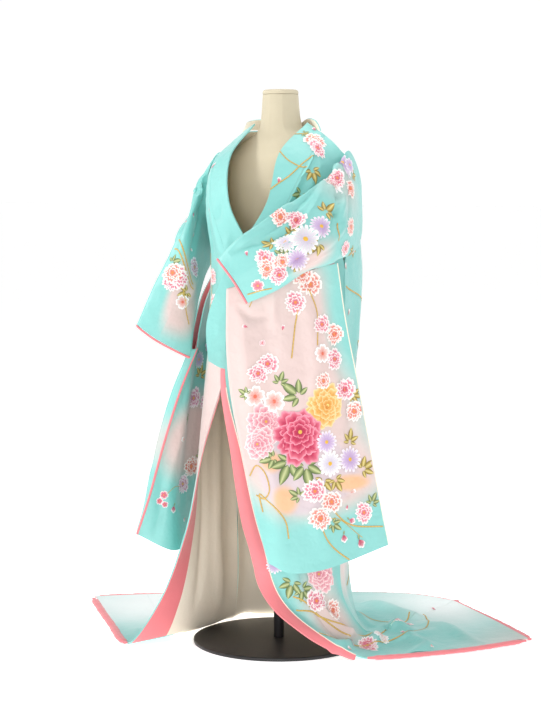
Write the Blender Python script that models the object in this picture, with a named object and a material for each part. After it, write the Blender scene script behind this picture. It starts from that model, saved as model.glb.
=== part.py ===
"""Uchikake wedding kimono worn by a limbless dress form on a round base plate.

Metres, +Z up. The origin is on the floor, at the centre of the base plate's underside. The
garment's front faces -Y and the wearer's left is +X. Every cloth piece is a wall with an outer
face and an inner face, made from a few named section rows that are joined by smooth curves.
"""
import bpy
import numpy as np
from collections import namedtuple

# ---- driving dimensions -------------------------------------------------------------------
CLOTH = 0.004            # silk, wadding and lining together
LINING = 0.0015          # cream lining where it shows
BAND = 0.002             # coral facing
SEAM_GAP = 0.0004        # air between neighbouring pieces
FLOOR_LIFT = 0.0015      # lowest cloth above the floor
FRONT_LIP_WIDTH = 0.038  # coral that stands beyond the left front's edge
FUKI_WIDTH = 0.034
FUKI_HEIGHT = 0.012
FUKI_GAP = 0.0012
LINING_GAP = 0.0006
CUFF_TRIM = 0.005
CUFF_GAP = 0.0012
NECK_BAND = 0.036
NECK_BAND_LEAN = (.45, .75)   # shares of its width towards the neck and upwards
SLEEVE_FOLD_BULGE = 0.008    # how far a hanging sleeve's folded edge rounds out
SHOWING_SIDE = (.574, -.819, 0)  # the hanging sleeves' showing faces look to the front left
LIP_ROLL = 0.010             # how far the front lip curls back

BASE_RADIUS = 0.235
BASE_THICKNESS = 0.010
POLE_RADIUS = 0.014

Finish = namedtuple("Finish", "colour roughness metallic")
FINISHES = {
    "silk_turquoise": Finish((0.20, 0.62, 0.58), 0.45, 0.0),
    "silk_pale": Finish((0.72, 0.84, 0.82), 0.45, 0.0),
    "silk_coral": Finish((0.85, 0.23, 0.25), 0.55, 0.0),
    "silk_cream": Finish((0.82, 0.74, 0.60), 0.6, 0.0),
    "linen": Finish((0.62, 0.56, 0.42), 0.9, 0.0),
    "stand_black": Finish((0.015, 0.015, 0.015), 0.4, 0.6),
}

# ---- the body: one row for each level, one column for each seam line -----------------------
# collar = free edge of the collar band, seam = collar seam and then the front edge,
# okumi = overlap-panel seam, front = middle of the front panel, front_side and back_side = side
# edges (apart at the armhole, together below it), back = middle of the back panel.
Level = namedtuple("Level", "name collar seam okumi front front_side back_side back")
RIGHT = [
    Level("shoulder", (-.060, -.030, 1.412), (-.112, -.006, 1.393), (-.122, .005, 1.388),
          (-.160, .0055, 1.366), (-.200, .011, 1.326), (-.200, .0145, 1.326), (-.118, .0125, 1.391)),
    Level("chest", (-.047, -.160, 1.322), (-.108, -.140, 1.310), (-.120, -.130, 1.310),
          (-.160, -.085, 1.300), (-.196, -.015, 1.250), (-.190, .075, 1.250), (-.126, .130, 1.290)),
    Level("bust", (-.012, -.214, 1.204), (-.086, -.192, 1.205), (-.100, -.180, 1.205),
          (-.148, -.120, 1.200), (-.186, -.008, 1.150), (-.182, .075, 1.150), (-.130, .170, 1.170)),
    Level("crossing", (.062, -.198, 1.050), (-.012, -.218, 1.050), (-.060, -.200, 1.050),
          (-.128, -.132, 1.050), (-.183, .027, 1.030), (-.183, .034, 1.030), (-.128, .176, 1.030)),
    Level("waist", (.065, -.190, .900), (.010, -.214, .900), (-.062, -.200, .900),
          (-.136, -.130, .900), (-.187, .028, .900), (-.187, .034, .900), (-.124, .172, .900)),
    Level("parting", (.030, -.211, .790), (-.010, -.231, .767), (-.102, -.186, .770),
          (-.152, -.108, .770), (-.188, .033, .770), (-.188, .037, .770), (-.118, .168, .770)),
    Level("thigh", None, (-.078, -.246, .550), (-.142, -.172, .550),
          (-.172, -.085, .550), (-.184, .038, .550), (-.184, .042, .550), (-.116, .164, .550)),
    Level("knee", None, (-.137, -.246, .320), (-.170, -.152, .320),
          (-.182, -.070, .320), (-.180, .050, .320), (-.180, .054, .320), (-.114, .168, .320)),
    Level("ankle", None, (-.214, -.262, .125), (-.190, -.162, .130),
          (-.186, -.070, .130), (-.186, .060, .130), (-.186, .064, .130), (-.124, .186, .130)),
    Level("floor", None, (-.287, -.288, .014), (-.225, -.160, .026),
          (-.216, -.050, .026), (-.220, .090, .026), (-.220, .094, .026), (-.145, .222, .026)),
    Level("train", None, (-.488, -.125, .008), (-.400, -.010, .010),
          (-.348, .090, .012), (-.312, .205, .012), (-.312, .209, .012), (-.205, .325, .012)),
    Level("hem", None, (-.735, .090, .008), (-.625, .200, .008),
          (-.512, .292, .010), (-.392, .380, .010), (-.389, .383, .010), (-.255, .480, .010)),
]
LEFT = [
    Level("shoulder", (.083, .012, 1.414), (.134, .006, 1.384), (.141, .008, 1.379),
          (.170, .010, 1.358), (.200, .018, 1.324), (.200, .022, 1.324), (.118, .0145, 1.391)),
    Level("chest", (.088, -.128, 1.330), (.152, -.088, 1.312), (.160, -.080, 1.308),
          (.176, -.050, 1.290), (.194, -.012, 1.250), (.188, .074, 1.250), (.126, .132, 1.290)),
    Level("bust", (.092, -.189, 1.204), (.138, -.162, 1.205), (.146, -.152, 1.205),
          (.166, -.105, 1.200), (.184, -.005, 1.150), (.182, .076, 1.150), (.134, .174, 1.170)),
    Level("crossing", (.010, -.236, 1.050), (.082, -.216, 1.050), (.108, -.194, 1.050),
          (.146, -.122, 1.050), (.190, .029, 1.030), (.190, .036, 1.030), (.148, .188, 1.030)),
    Level("waist", (-.055, -.250, .900), (.012, -.240, .900), (.074, -.206, .900),
          (.136, -.122, .900), (.194, .026, .900), (.194, .032, .900), (.140, .182, .900)),
    Level("parting", (-.043, -.262, .790), (-.003, -.243, .770), (.074, -.202, .770),
          (.138, -.116, .770), (.192, .027, .770), (.192, .032, .770), (.128, .175, .770)),
    Level("thigh", None, (.034, -.222, .550), (.100, -.156, .550),
          (.152, -.088, .550), (.184, .028, .550), (.184, .032, .550), (.116, .162, .550)),
    Level("knee", None, (.078, -.192, .320), (.130, -.126, .320),
          (.164, -.070, .320), (.178, .032, .320), (.178, .036, .320), (.112, .162, .320)),
    Level("ankle", None, (.142, -.148, .130), (.176, -.094, .130),
          (.186, -.040, .130), (.184, .042, .130), (.184, .046, .130), (.118, .180, .130)),
    Level("floor", None, (.290, -.062, .014), (.245, -.004, .026),
          (.226, .056, .026), (.208, .124, .026), (.208, .128, .026), (.120, .222, .026)),
    Level("train", None, (.450, .130, .008), (.356, .202, .010),
          (.280, .268, .012), (.200, .332, .012), (.197, .335, .012), (.075, .395, .012)),
    Level("hem", None, (.572, .372, .008), (.428, .482, .008),
          (.305, .566, .010), (.187, .648, .010), (.183, .650, .010), (.035, .656, .010)),
]
CENTRE_BACK = [(0, .104, 1.384), (0, .160, 1.290), (0, .195, 1.170), (0, .205, 1.030),
               (0, .205, .900), (0, .203, .770), (-.003, .200, .550), (-.008, .202, .320),
               (-.015, .222, .130), (-.025, .262, .026), (-.068, .395, .012), (-.118, .580, .010)]
COLLAR_TAIL = 0.5        # how far the surface runs on past the front edges below the collar

# ---- soft folds of the skirt: place across (in seam columns), levels, how far it stands ----
Fold = namedtuple("Fold", "across width top bottom height")
FOLDS = [
    Fold(3.67, .28, 6.0, 9.5, .012),
    Fold(5.33, .26, 5.0, 10.6, .018),
    Fold(6.33, .24, 6.5, 11.0, -.012),
    Fold(7.0, .30, 4.5, 10.2, .016),
    Fold(7.67, .26, 6.0, 10.8, .016),
    Fold(8.33, .22, 7.0, 9.6, -.010),
    Fold(9.67, .25, 6.5, 10.4, .014),
    Fold(11.33, .24, 7.5, 10.6, .016),
    Fold(12.0, .22, 7.0, 9.8, -.008),
]

# ---- sleeves: rings round the arm, one row for each place along it --------------------------
Ring = namedtuple("Ring", "name front top back under")
LEFT_ARM = [
    Ring("armhole", (.212, -.042, 1.250), (.207, .024, 1.338), (.206, .090, 1.235), (.200, .034, 1.085)),
    Ring("upper arm", (.202, -.118, 1.243), (.240, -.030, 1.252), (.224, .062, 1.115), (.210, -.010, 1.095)),
    Ring("elbow", (.168, -.192, 1.197), (.262, -.130, 1.160), (.254, -.108, 1.052), (.196, -.150, 1.090)),
    Ring("forearm", (.136, -.259, 1.157), (.240, -.236, 1.092), (.226, -.212, 1.026), (.156, -.212, 1.075)),
    Ring("wrist", (.096, -.311, 1.119), (.186, -.304, 1.054), (.186, -.273, .984), (.124, -.262, 1.035)),
    Ring("cuff", (.050, -.343, 1.064), (.104, -.350, 1.012), (.124, -.316, .951), (.082, -.308, 1.000)),
]
RIGHT_ARM = [
    Ring("armhole", (-.206, -.045, 1.250), (-.206, .014, 1.338), (-.206, .104, 1.240), (-.203, .034, 1.085)),
    Ring("sleeve head", (-.221, -.062, 1.238), (-.238, .004, 1.308), (-.244, .092, 1.215), (-.221, .022, 1.070)),
    Ring("upper arm", (-.212, -.112, 1.180), (-.247, -.052, 1.220), (-.258, .040, 1.125), (-.218, -.020, 1.035)),
    Ring("elbow", (-.172, -.182, 1.075), (-.214, -.166, 1.122), (-.240, -.085, 1.040), (-.196, -.084, .975)),
    Ring("forearm", (-.172, -.204, .985), (-.228, -.207, 1.040), (-.234, -.150, .975), (-.176, -.138, .905)),
    Ring("wrist", (-.188, -.232, .915), (-.248, -.235, .975), (-.240, -.190, .910), (-.162, -.172, .845)),
    Ring("cuff", (-.215, -.260, .838), (-.271, -.275, .878), (-.230, -.216, .838), (-.149, -.202, .793)),
]
# Hanging bags: the face that shows, from its folded edge to its open edge, and the bag's depth.
BagRow = namedtuple("BagRow", "name fold near far opening depth")
LEFT_BAG = [
    BagRow("top", (.054, -.300, .985), (.110, -.255, 1.004), (.185, -.180, 1.026), (.246, -.092, 1.046), .012),
    BagRow("upper", (.052, -.303, .860), (.122, -.255, .880), (.198, -.175, .890), (.260, -.074, .899), .022),
    BagRow("middle", (.064, -.298, .700), (.136, -.250, .700), (.214, -.165, .705), (.285, -.044, .712), .028),
    BagRow("lower", (.088, -.281, .545), (.156, -.238, .540), (.232, -.154, .535), (.308, -.016, .530), .028),
    BagRow("foot", (.110, -.258, .395), (.170, -.228, .385), (.248, -.150, .390), (.325, .001, .405), .022),
    BagRow("bottom", (.135, -.236, .268), (.190, -.218, .248), (.258, -.148, .256), (.340, .017, .301), .006),
]
RIGHT_BAG = [
    BagRow("top", (-.157, -.158, .812), (-.177, -.116, .872), (-.198, -.058, .942), (-.216, .015, 1.000), .012),
    BagRow("upper", (-.180, -.200, .700), (-.192, -.140, .715), (-.208, -.070, .740), (-.224, .010, .760), .020),
    BagRow("middle", (-.218, -.226, .550), (-.206, -.160, .545), (-.220, -.080, .545), (-.234, .000, .550), .026),
    BagRow("lower", (-.252, -.250, .400), (-.215, -.196, .385), (-.230, -.100, .390), (-.244, -.010, .400), .022),
    BagRow("bottom", (-.278, -.268, .305), (-.204, -.212, .262), (-.222, -.110, .270), (-.246, -.020, .295), .006),
]

# ---- dress form: one row for each height ----------------------------------------------------
FormRow = namedtuple("FormRow", "height centre_x centre_y half_width half_depth")
TORSO = [
    FormRow(.830, 0, .000, .100, .072), FormRow(.838, 0, .000, .140, .102), FormRow(.900, 0, .002, .150, .108),
    FormRow(1.000, 0, .002, .132, .096), FormRow(1.060, 0, .000, .126, .092), FormRow(1.160, 0, -.004, .142, .104),
    FormRow(1.240, 0, -.004, .152, .108), FormRow(1.310, 0, .002, .158, .092), FormRow(1.345, 0, .008, .140, .076),
    FormRow(1.370, 0, .010, .102, .064), FormRow(1.392, .002, .008, .066, .058), FormRow(1.420, .003, .004, .054, .053),
    FormRow(1.460, .005, .000, .050, .049), FormRow(1.488, .006, -.002, .048, .047),
]


def hermite_row(values, knots, position):
    """Smooth curve through rows of points: position is measured in knots."""
    values = np.asarray(values, float)
    i = int(min(max(np.searchsorted(knots, position, side="right") - 1, 0), len(knots) - 2))
    span = knots[i + 1] - knots[i]
    t = (position - knots[i]) / span

    def slope(k):
        if k == 0:
            return (values[1] - values[0]) / (knots[1] - knots[0])
        if k == len(knots) - 1:
            return (values[-1] - values[-2]) / (knots[-1] - knots[-2])
        before = (values[k] - values[k - 1]) / (knots[k] - knots[k - 1])
        after = (values[k + 1] - values[k]) / (knots[k + 1] - knots[k])
        share = (knots[k + 1] - knots[k]) / (knots[k + 1] - knots[k - 1])
        return share * before + (1 - share) * after

    m0 = slope(i) * span
    m1 = slope(i + 1) * span
    a = 2 * t ** 3 - 3 * t ** 2 + 1
    b = t ** 3 - 2 * t ** 2 + t
    c = -2 * t ** 3 + 3 * t ** 2
    d = t ** 3 - t ** 2
    return a * values[i] + b * m0 + c * values[i + 1] + d * m1


class Surface:
    """A smooth surface through a table: rows go down (v), columns go across (u)."""

    def __init__(self, rows, folds=(), floor=None, closed=False, joined=(), ridge=False):
        self.table = np.asarray(rows, float)
        self.closed = closed
        if closed:
            self.table = np.concatenate([self.table[:, -1:], self.table, self.table[:, :2]], axis=1)
        self.folds = folds
        self.floor = floor
        self.joined = joined
        self.ridge = ridge
        steps = np.linalg.norm(np.diff(self.table, axis=0), axis=2).mean(axis=1)
        self.v_knots = np.concatenate([[0], np.cumsum(steps)])
        self.u_knots = np.arange(self.table.shape[1], dtype=float) - (1 if closed else 0)

    def level(self, v):
        """Turns a level number (0 to rows - 1, fractions allowed) into a place on the knots."""
        return float(np.interp(v, np.arange(len(self.v_knots)), self.v_knots))

    def smooth(self, u, v):
        down = hermite_row(self.table, self.v_knots, self.extend(v))
        return hermite_row(down, self.u_knots, u)

    def extend(self, v):
        last = len(self.v_knots) - 1
        if v > last:
            return self.v_knots[-1] + (v - last) * (self.v_knots[-1] - self.v_knots[-2])
        return self.level(v)

    def bare_normal(self, u, v):
        e = 0.02
        high_u = self.u_knots[-1] - (1 if self.closed else 0)
        u0 = max(u - e, 0.0) if not self.closed else u - e
        u1 = min(u + e, high_u) if not self.closed else u + e
        v1 = min(v + e, len(self.v_knots) - 1)
        v0 = max(v1 - 2 * e, 0.0)
        across = self.smooth(u1, v) - self.smooth(u0, v)
        down = self.smooth(u, v1) - self.smooth(u, v0)
        n = np.cross(across, down)
        return n / max(np.linalg.norm(n), 1e-12)

    def lift(self, u, v):
        total = 0.0
        for fold in self.folds:
            if fold.top < v < fold.bottom:
                along = (v - fold.top) / (fold.bottom - fold.top)
                ramp = np.sin(np.pi * along ** 0.8)
                total += fold.height * ramp * np.exp(-((u - fold.across) / fold.width) ** 2)
        return total

    def point(self, u, v):
        p = self.smooth(u, v)
        lift = self.lift(u, v) if self.folds else 0.0
        if lift:
            p = p + lift * self.bare_normal(u, v)
        if self.floor is not None:
            p = np.array([p[0], p[1], max(p[2], self.floor)])
        return p

    def raw_normal(self, u, v):
        if not self.folds:
            return self.bare_normal(u, v)
        e = 0.03
        u0, u1 = max(u - e, 0.0), min(u + e, self.u_knots[-1])
        v1 = min(v + e, len(self.v_knots) - 1)
        v0 = max(v1 - 2 * e, 0.0)
        n = np.cross(self.point(u1, v) - self.point(u0, v), self.point(u, v1) - self.point(u, v0))
        return n / max(np.linalg.norm(n), 1e-12)

    def normal(self, u, v):
        """Direction of the wall's thickness: neighbours share it along their seams."""
        n = self.raw_normal(u, v)
        for pair in self.joined:
            if u in pair and v >= ARMHOLE_BOTTOM:
                n = self.raw_normal(pair[0], v) + self.raw_normal(pair[1], v)
        if self.ridge and v < 1:
            n = n / np.linalg.norm(n) * v + np.array([0, 0, 1 - v])
        return n / max(np.linalg.norm(n), 1e-12)


def material(name):
    found = bpy.data.materials.get(name)
    if found:
        return found
    finish = FINISHES[name]
    made = bpy.data.materials.new(name)
    made.use_nodes = True
    shader = made.node_tree.nodes["Principled BSDF"]
    shader.inputs["Base Color"].default_value = (*finish.colour, 1.0)
    shader.inputs["Roughness"].default_value = finish.roughness
    shader.inputs["Metallic"].default_value = finish.metallic
    return made


def add_object(name, points, faces, finish):
    mesh = bpy.data.meshes.new(name)
    mesh.from_pydata([tuple(map(float, p)) for p in points], [], faces)
    mesh.validate()
    mesh.shade_smooth()
    mesh.set_sharp_from_angle(angle=np.radians(40))
    mesh.materials.append(material(finish))
    made = bpy.data.objects.new(name, mesh)
    bpy.context.scene.collection.objects.link(made)
    return made


def wall(name, outer, inner, finish, ring=False):
    """Closed wall between two grids [row][column]; ring joins the last column to the first."""
    outer = np.asarray(outer)
    inner = np.asarray(inner)
    rows, columns = outer.shape[:2]
    points = np.concatenate([outer.reshape(-1, 3), inner.reshape(-1, 3)])
    back = rows * columns
    faces = []

    def quad(a, b, c, d):
        faces.append((a, b, c))
        faces.append((a, c, d))

    steps = columns if ring else columns - 1
    for r in range(rows - 1):
        for c in range(steps):
            n = (c + 1) % columns
            a, b = r * columns + c, r * columns + n
            d, e = (r + 1) * columns + c, (r + 1) * columns + n
            quad(a, b, e, d)
            quad(back + a, back + d, back + e, back + b)
    for c in range(steps):
        n = (c + 1) % columns
        quad(c, back + c, back + n, n)
        low = (rows - 1) * columns
        quad(low + c, low + n, back + low + n, back + low + c)
    if not ring:
        for r in range(rows - 1):
            a, d = r * columns, (r + 1) * columns
            quad(a, d, back + d, back + a)
            e, f = a + columns - 1, d + columns - 1
            quad(e, back + e, back + f, f)
    flipped = [tuple(reversed(f)) for f in faces]
    return add_object(name, points, outward(points, faces, flipped), finish)


def outward(points, faces, flipped):
    """Keeps the face order whose enclosed volume is positive."""
    p = np.asarray(points)
    f = np.asarray(faces)
    volume = np.einsum("ij,ij->i", p[f[:, 0]], np.cross(p[f[:, 1]], p[f[:, 2]])).sum()
    return faces if volume > 0 else flipped


def free_edge(level):
    """The collar's free edge, or the surface run on a little past the front edge below it."""
    if level.collar:
        return level.collar
    seam = np.array(level.seam)
    return tuple(seam + (seam - np.array(level.okumi)) * COLLAR_TAIL)


def body_rows():
    """One row for each level, from the right free edge round the back to the left one."""
    rows = []
    for right, left, centre in zip(RIGHT, LEFT, CENTRE_BACK):
        rows.append([free_edge(right), right.seam, right.okumi, right.front, right.front_side, right.back_side,
                     right.back, centre, left.back, left.back_side, left.front_side, left.front, left.okumi,
                     left.seam, free_edge(left)])
    return rows


COLUMN = {"collar_right": 0, "seam_right": 1, "okumi_right": 2, "front_right": 3, "front_side_right": 4,
          "back_side_right": 5, "back_right": 6, "centre_back": 7, "back_left": 8, "back_side_left": 9,
          "front_side_left": 10, "front_left": 11, "okumi_left": 12, "seam_left": 13, "collar_left": 14}
ARMHOLE_BOTTOM = 3       # level below which the side edges meet
PER_COLUMN = 3           # grid columns between two seam columns
PER_LEVEL = 2            # grid rows between two levels
COLLAR_END = 5           # level of the collar ends


def spread(start, end, steps):
    return np.linspace(start, end, steps + 1)


def levels(top, bottom, per_level):
    """Rows from one level to another, with a row on each level and some between."""
    whole = np.arange(np.ceil(top), np.floor(bottom) + 1)
    stops = sorted({float(top), float(bottom), *map(float, whole)})
    rows = []
    for a, b in zip(stops, stops[1:]):
        count = max(1, round(per_level * (b - a)))
        rows.extend(spread(a, b, count)[:-1])
    rows.append(float(bottom))
    return rows


def panel_grid(surface, columns, rows, depth=0.0, thickness=CLOTH):
    """Outer and inner grids of a panel that lies `depth` inside the surface."""
    outer = []
    inner = []
    for v in rows:
        line_out = []
        line_in = []
        for u in columns:
            p = surface.point(u, v)
            n = surface.normal(u, v)
            line_out.append(p - n * depth)
            line_in.append(p - n * (depth + thickness))
        outer.append(line_out)
        inner.append(line_in)
    return np.array(outer), np.array(inner)


def keep_above_floor(grid, lowest):
    grid = grid.copy()
    grid[..., 2] = np.maximum(grid[..., 2], lowest)
    return grid


def trim_edges(outer, inner, gap=SEAM_GAP / 2, sides=True, ends=False):
    """Draws the edge columns (and rows) in, so that neighbours stay apart."""
    result = []
    for grid in (outer, inner):
        g = grid.copy()
        if sides:
            for edge, beside in ((0, 1), (-1, -2)):
                step = grid[:, beside] - grid[:, edge]
                length = np.linalg.norm(step, axis=1, keepdims=True)
                g[:, edge] = grid[:, edge] + step / np.maximum(length, 1e-9) * np.minimum(gap, length * 0.3)
        if ends:
            for edge, beside in ((0, 1), (-1, -2)):
                step = grid[beside] - grid[edge]
                length = np.linalg.norm(step, axis=1, keepdims=True)
                g[edge] = g[edge] + step / np.maximum(length, 1e-9) * np.minimum(gap, length * 0.3)
        result.append(g)
    return result


def body_panel(surface, name, first, last, top, bottom, finish, depth=0.0, thickness=CLOTH, ends=False):
    """A wall between two seam columns and two levels of the body surface."""
    low = min(COLUMN.get(first, first), COLUMN.get(last, last))
    high = max(COLUMN.get(first, first), COLUMN.get(last, last))
    columns = spread(low, high, int(round(PER_COLUMN * (high - low))))
    outer, inner = panel_grid(surface, columns, levels(top, bottom, PER_LEVEL), depth, thickness)
    outer, inner = trim_edges(outer, inner, ends=ends)
    inner = keep_above_floor(inner, FLOOR_LIFT)
    outer = keep_above_floor(outer, FLOOR_LIFT + thickness * .6)
    return wall(name, outer, inner, finish)


def build_body(surface):
    last = len(RIGHT) - 1
    body_panel(surface, "back_right", "back_side_right", "centre_back", 0, last, "silk_turquoise")
    body_panel(surface, "back_left", "centre_back", "back_side_left", 0, last, "silk_turquoise")
    body_panel(surface, "front_right", "okumi_right", "front_side_right", 0, last, "silk_turquoise")
    body_panel(surface, "front_left", "front_side_left", "okumi_left", 0, last, "silk_turquoise")
    body_panel(surface, "okumi_right", "seam_right", "okumi_right", 0, last, "silk_pale")
    body_panel(surface, "okumi_left", "okumi_left", "seam_left", 0, last, "silk_turquoise")


def build_collar(surface):
    """Collar bands from the shoulder to their ends, and the band round the back of the neck."""
    body_panel(surface, "collar_right", "collar_right", "seam_right", 0, COLLAR_END, "silk_turquoise")
    body_panel(surface, "collar_left", "seam_left", "collar_left", 0, COLLAR_END, "silk_turquoise")
    columns = spread(COLUMN["back_right"] - .1, COLUMN["back_left"] + .1, 10)
    seam = np.array([surface.point(u, 0) for u in columns]) + np.array([0, 0, .004])
    towards, upwards = NECK_BAND_LEAN
    free = []
    for p in seam:
        toward_neck = -np.array([p[0], p[1] - .01, 0])
        toward_neck = toward_neck / np.linalg.norm(toward_neck)
        free.append(p + toward_neck * NECK_BAND * towards + np.array([0, 0, NECK_BAND * upwards]))
    free = np.array(free)
    across = np.gradient(seam, axis=0)
    normals = np.cross(across, seam - free)
    normals = normals / np.linalg.norm(normals, axis=1, keepdims=True)
    if np.dot(normals[5], (0, 1, 0)) < 0:
        normals = -normals
    outer = np.array([free, (free + seam) / 2 + normals * .002, seam])
    inner = outer - normals * CLOTH
    wall("collar_neck", outer, inner, "silk_turquoise")


def build_linings(surface):
    """Cream lining inside the skirt, only where the open fronts show it."""
    inside = CLOTH + LINING_GAP
    right = COLUMN["seam_right"] + 2 / PER_COLUMN
    left = COLUMN["seam_left"] - 1 / PER_COLUMN
    pieces = (("lining_right", right, "front_side_right"), ("lining_back", "back_side_right", "back_side_left"),
              ("lining_left", "front_side_left", left))
    for name, first, last in pieces:
        body_panel(surface, name, first, last, 4.5, 8.5, "silk_cream", inside, LINING)


def build_bands(surface):
    """Coral facings of the front edges, from the parting down to the floor."""
    seam = COLUMN["seam_right"]
    body_panel(surface, "front_band_right", seam, seam + 2 / PER_COLUMN, 5, 9, "silk_coral",
               CLOTH + LINING_GAP, BAND)
    outer = []
    inner = []
    last = COLUMN["seam_left"]
    for v in levels(5, 9, PER_LEVEL):
        edge = surface.point(last, v)
        n = surface.normal(last, v)
        away = edge - surface.point(last - .12, v)
        away = away / np.linalg.norm(away)
        line_out = []
        line_in = []
        for share in (0, .5, 1):
            reach = SEAM_GAP + share * FRONT_LIP_WIDTH * min(1, .35 + (v - 5) * .35)
            p = edge + away * reach - n * (share ** 2 * LIP_ROLL)
            line_out.append(p)
            line_in.append(p - n * CLOTH)
        outer.append(line_out)
        inner.append(line_in)
    outer = keep_above_floor(np.array(outer), FLOOR_LIFT + CLOTH * .6)
    inner = keep_above_floor(np.array(inner), FLOOR_LIFT)
    wall("front_band_left", outer, inner, "silk_coral")


def roll(name, path, away, finish, sides=6):
    """Flattened padded roll whose section lies beside a path; away points out of the cloth."""
    outer = []
    inner = []
    half = FUKI_HEIGHT / 2
    for p, out in zip(path, away):
        centre = p + out * (FUKI_WIDTH / 2 + FUKI_GAP)
        centre[2] = FLOOR_LIFT + half
        ring = []
        for k in range(sides):
            a = 2 * np.pi * k / sides
            ring.append(centre + out * np.cos(a) * FUKI_WIDTH / 2 + np.array([0, 0, np.sin(a) * half]))
        outer.append(ring)
    grid = np.array(outer)
    rows, columns = grid.shape[:2]
    points = list(grid.reshape(-1, 3))
    faces = []
    for r in range(rows - 1):
        for c in range(columns):
            n = (c + 1) % columns
            a, b, d, e = r * columns + c, r * columns + n, (r + 1) * columns + c, (r + 1) * columns + n
            faces.append((a, b, e))
            faces.append((a, e, d))
    for end, flip in ((0, True), (rows - 1, False)):
        hub = len(points)
        points.append(grid[end].mean(axis=0))
        for c in range(columns):
            n = (c + 1) % columns
            tri = (hub, end * columns + c, end * columns + n)
            faces.append(tuple(reversed(tri)) if flip else tri)
    flipped = [tuple(reversed(f)) for f in faces]
    return add_object(name, points, outward(points, faces, flipped), finish)


def build_fuki(surface):
    """Padded coral roll along the two front edges on the floor and along the hem."""
    right, left = COLUMN["seam_right"], COLUMN["seam_left"]
    hem = len(RIGHT) - 1
    for name, column, beside in (("fuki_right", right, right + .12), ("fuki_left", left, left - .12)):
        path = []
        away = []
        for v in (9.12, 9.5, 10.0, 10.5, 10.96):
            p = surface.point(column, v)
            out = (p - surface.point(beside, v)) * np.array([1, 1, 0])
            path.append(p)
            away.append(out / np.linalg.norm(out))
        roll(name, path, away, "silk_coral")
    path = []
    away = []
    for u in spread(right, left, int((left - right) * PER_COLUMN)):
        p = surface.point(u, hem)
        if path and np.linalg.norm(p - path[-1]) < FUKI_WIDTH / 2:
            continue
        out = (p - surface.point(u, hem - .1)) * np.array([1, 1, 0])
        path.append(p)
        away.append(out / np.linalg.norm(out))
    roll("fuki_hem", path, away, "silk_coral")


def build_sleeves():
    for side, arm, bag in (("left", LEFT_ARM, LEFT_BAG), ("right", RIGHT_ARM, RIGHT_BAG)):
        tube = Surface([[r.front, r.top, r.back, r.under] for r in arm], closed=True)
        columns = np.arange(0, 4, 4 / 12)
        last = len(arm) - 1
        outer, inner = panel_grid(tube, columns, levels(0, last, 2))
        centre = outer.mean(axis=1, keepdims=True)
        if np.linalg.norm(outer - centre) < np.linalg.norm(inner - centre):
            outer, inner = panel_grid(tube, columns, levels(0, last, 2), 0.0, -CLOTH)
        wall("sleeve_%s_arm" % side, outer, inner, "silk_turquoise", ring=True)
        step = CUFF_TRIM / (tube.v_knots[-1] - tube.v_knots[-2])
        gap = CUFF_GAP / (tube.v_knots[-1] - tube.v_knots[-2])
        t_out, t_in = panel_grid(tube, columns, [last + gap, last + gap + step], 0.0, CLOTH)
        if np.linalg.norm(t_out - centre[-1]) < np.linalg.norm(t_in - centre[-1]):
            t_out, t_in = panel_grid(tube, columns, [last + gap, last + gap + step], 0.0, -CLOTH)
        wall("cuff_" + side, t_out, t_in, "silk_coral", ring=True)
        build_bag("sleeve_%s_bag" % side, bag)


def build_bag(name, rows):
    """Hanging bag: the showing face, round the folded edge, and back along the far face."""
    face = Surface([[r.fold, r.near, r.far, r.opening] for r in rows])
    depths = [r.depth for r in rows]
    knots = np.arange(len(rows))
    across = spread(0, 3, 6)
    outer = []
    inner = []
    for v in levels(0, len(rows) - 1, 3):
        depth = float(np.interp(v, knots, depths)) + 2 * CLOTH
        front = [face.point(u, v) for u in across]
        normals = []
        for u in across:
            n = face.normal(u, v)
            n[2] = 0
            normals.append(n / np.linalg.norm(n))
        if np.dot(normals[2], SHOWING_SIDE) < 0:
            normals = [-n for n in normals]
        sheet = list(reversed(front))
        offs = list(reversed(normals))
        middle = front[0] - normals[0] * depth / 2
        along = front[0] - front[1]
        along = along / np.linalg.norm(along)
        edge = middle + along * min(depth / 2, SLEEVE_FOLD_BULGE)
        out_line = sheet + [edge] + [p - n * depth for p, n in zip(front, normals)]
        in_line = [p - n * CLOTH for p, n in zip(sheet, offs)] + [edge - along * CLOTH]
        in_line += [p - n * (depth - CLOTH) for p, n in zip(front, normals)]
        outer.append(out_line)
        inner.append(in_line)
    wall(name, np.array(outer), np.array(inner), "silk_turquoise")


def lathe(name, rows, finish, sides=24):
    """Closed turned body through elliptical rows, with flat ends."""
    points = []
    faces = []
    for row in rows:
        for k in range(sides):
            a = 2 * np.pi * k / sides
            points.append((row.centre_x + row.half_width * np.cos(a),
                           row.centre_y + row.half_depth * np.sin(a), row.height))
    for r in range(len(rows) - 1):
        for k in range(sides):
            n = (k + 1) % sides
            a, b, d, e = r * sides + k, r * sides + n, (r + 1) * sides + k, (r + 1) * sides + n
            faces.append((a, b, e, d))
    faces.append(tuple(reversed(range(sides))))
    faces.append(tuple((len(rows) - 1) * sides + k for k in range(sides)))
    return add_object(name, points, faces, finish)


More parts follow.
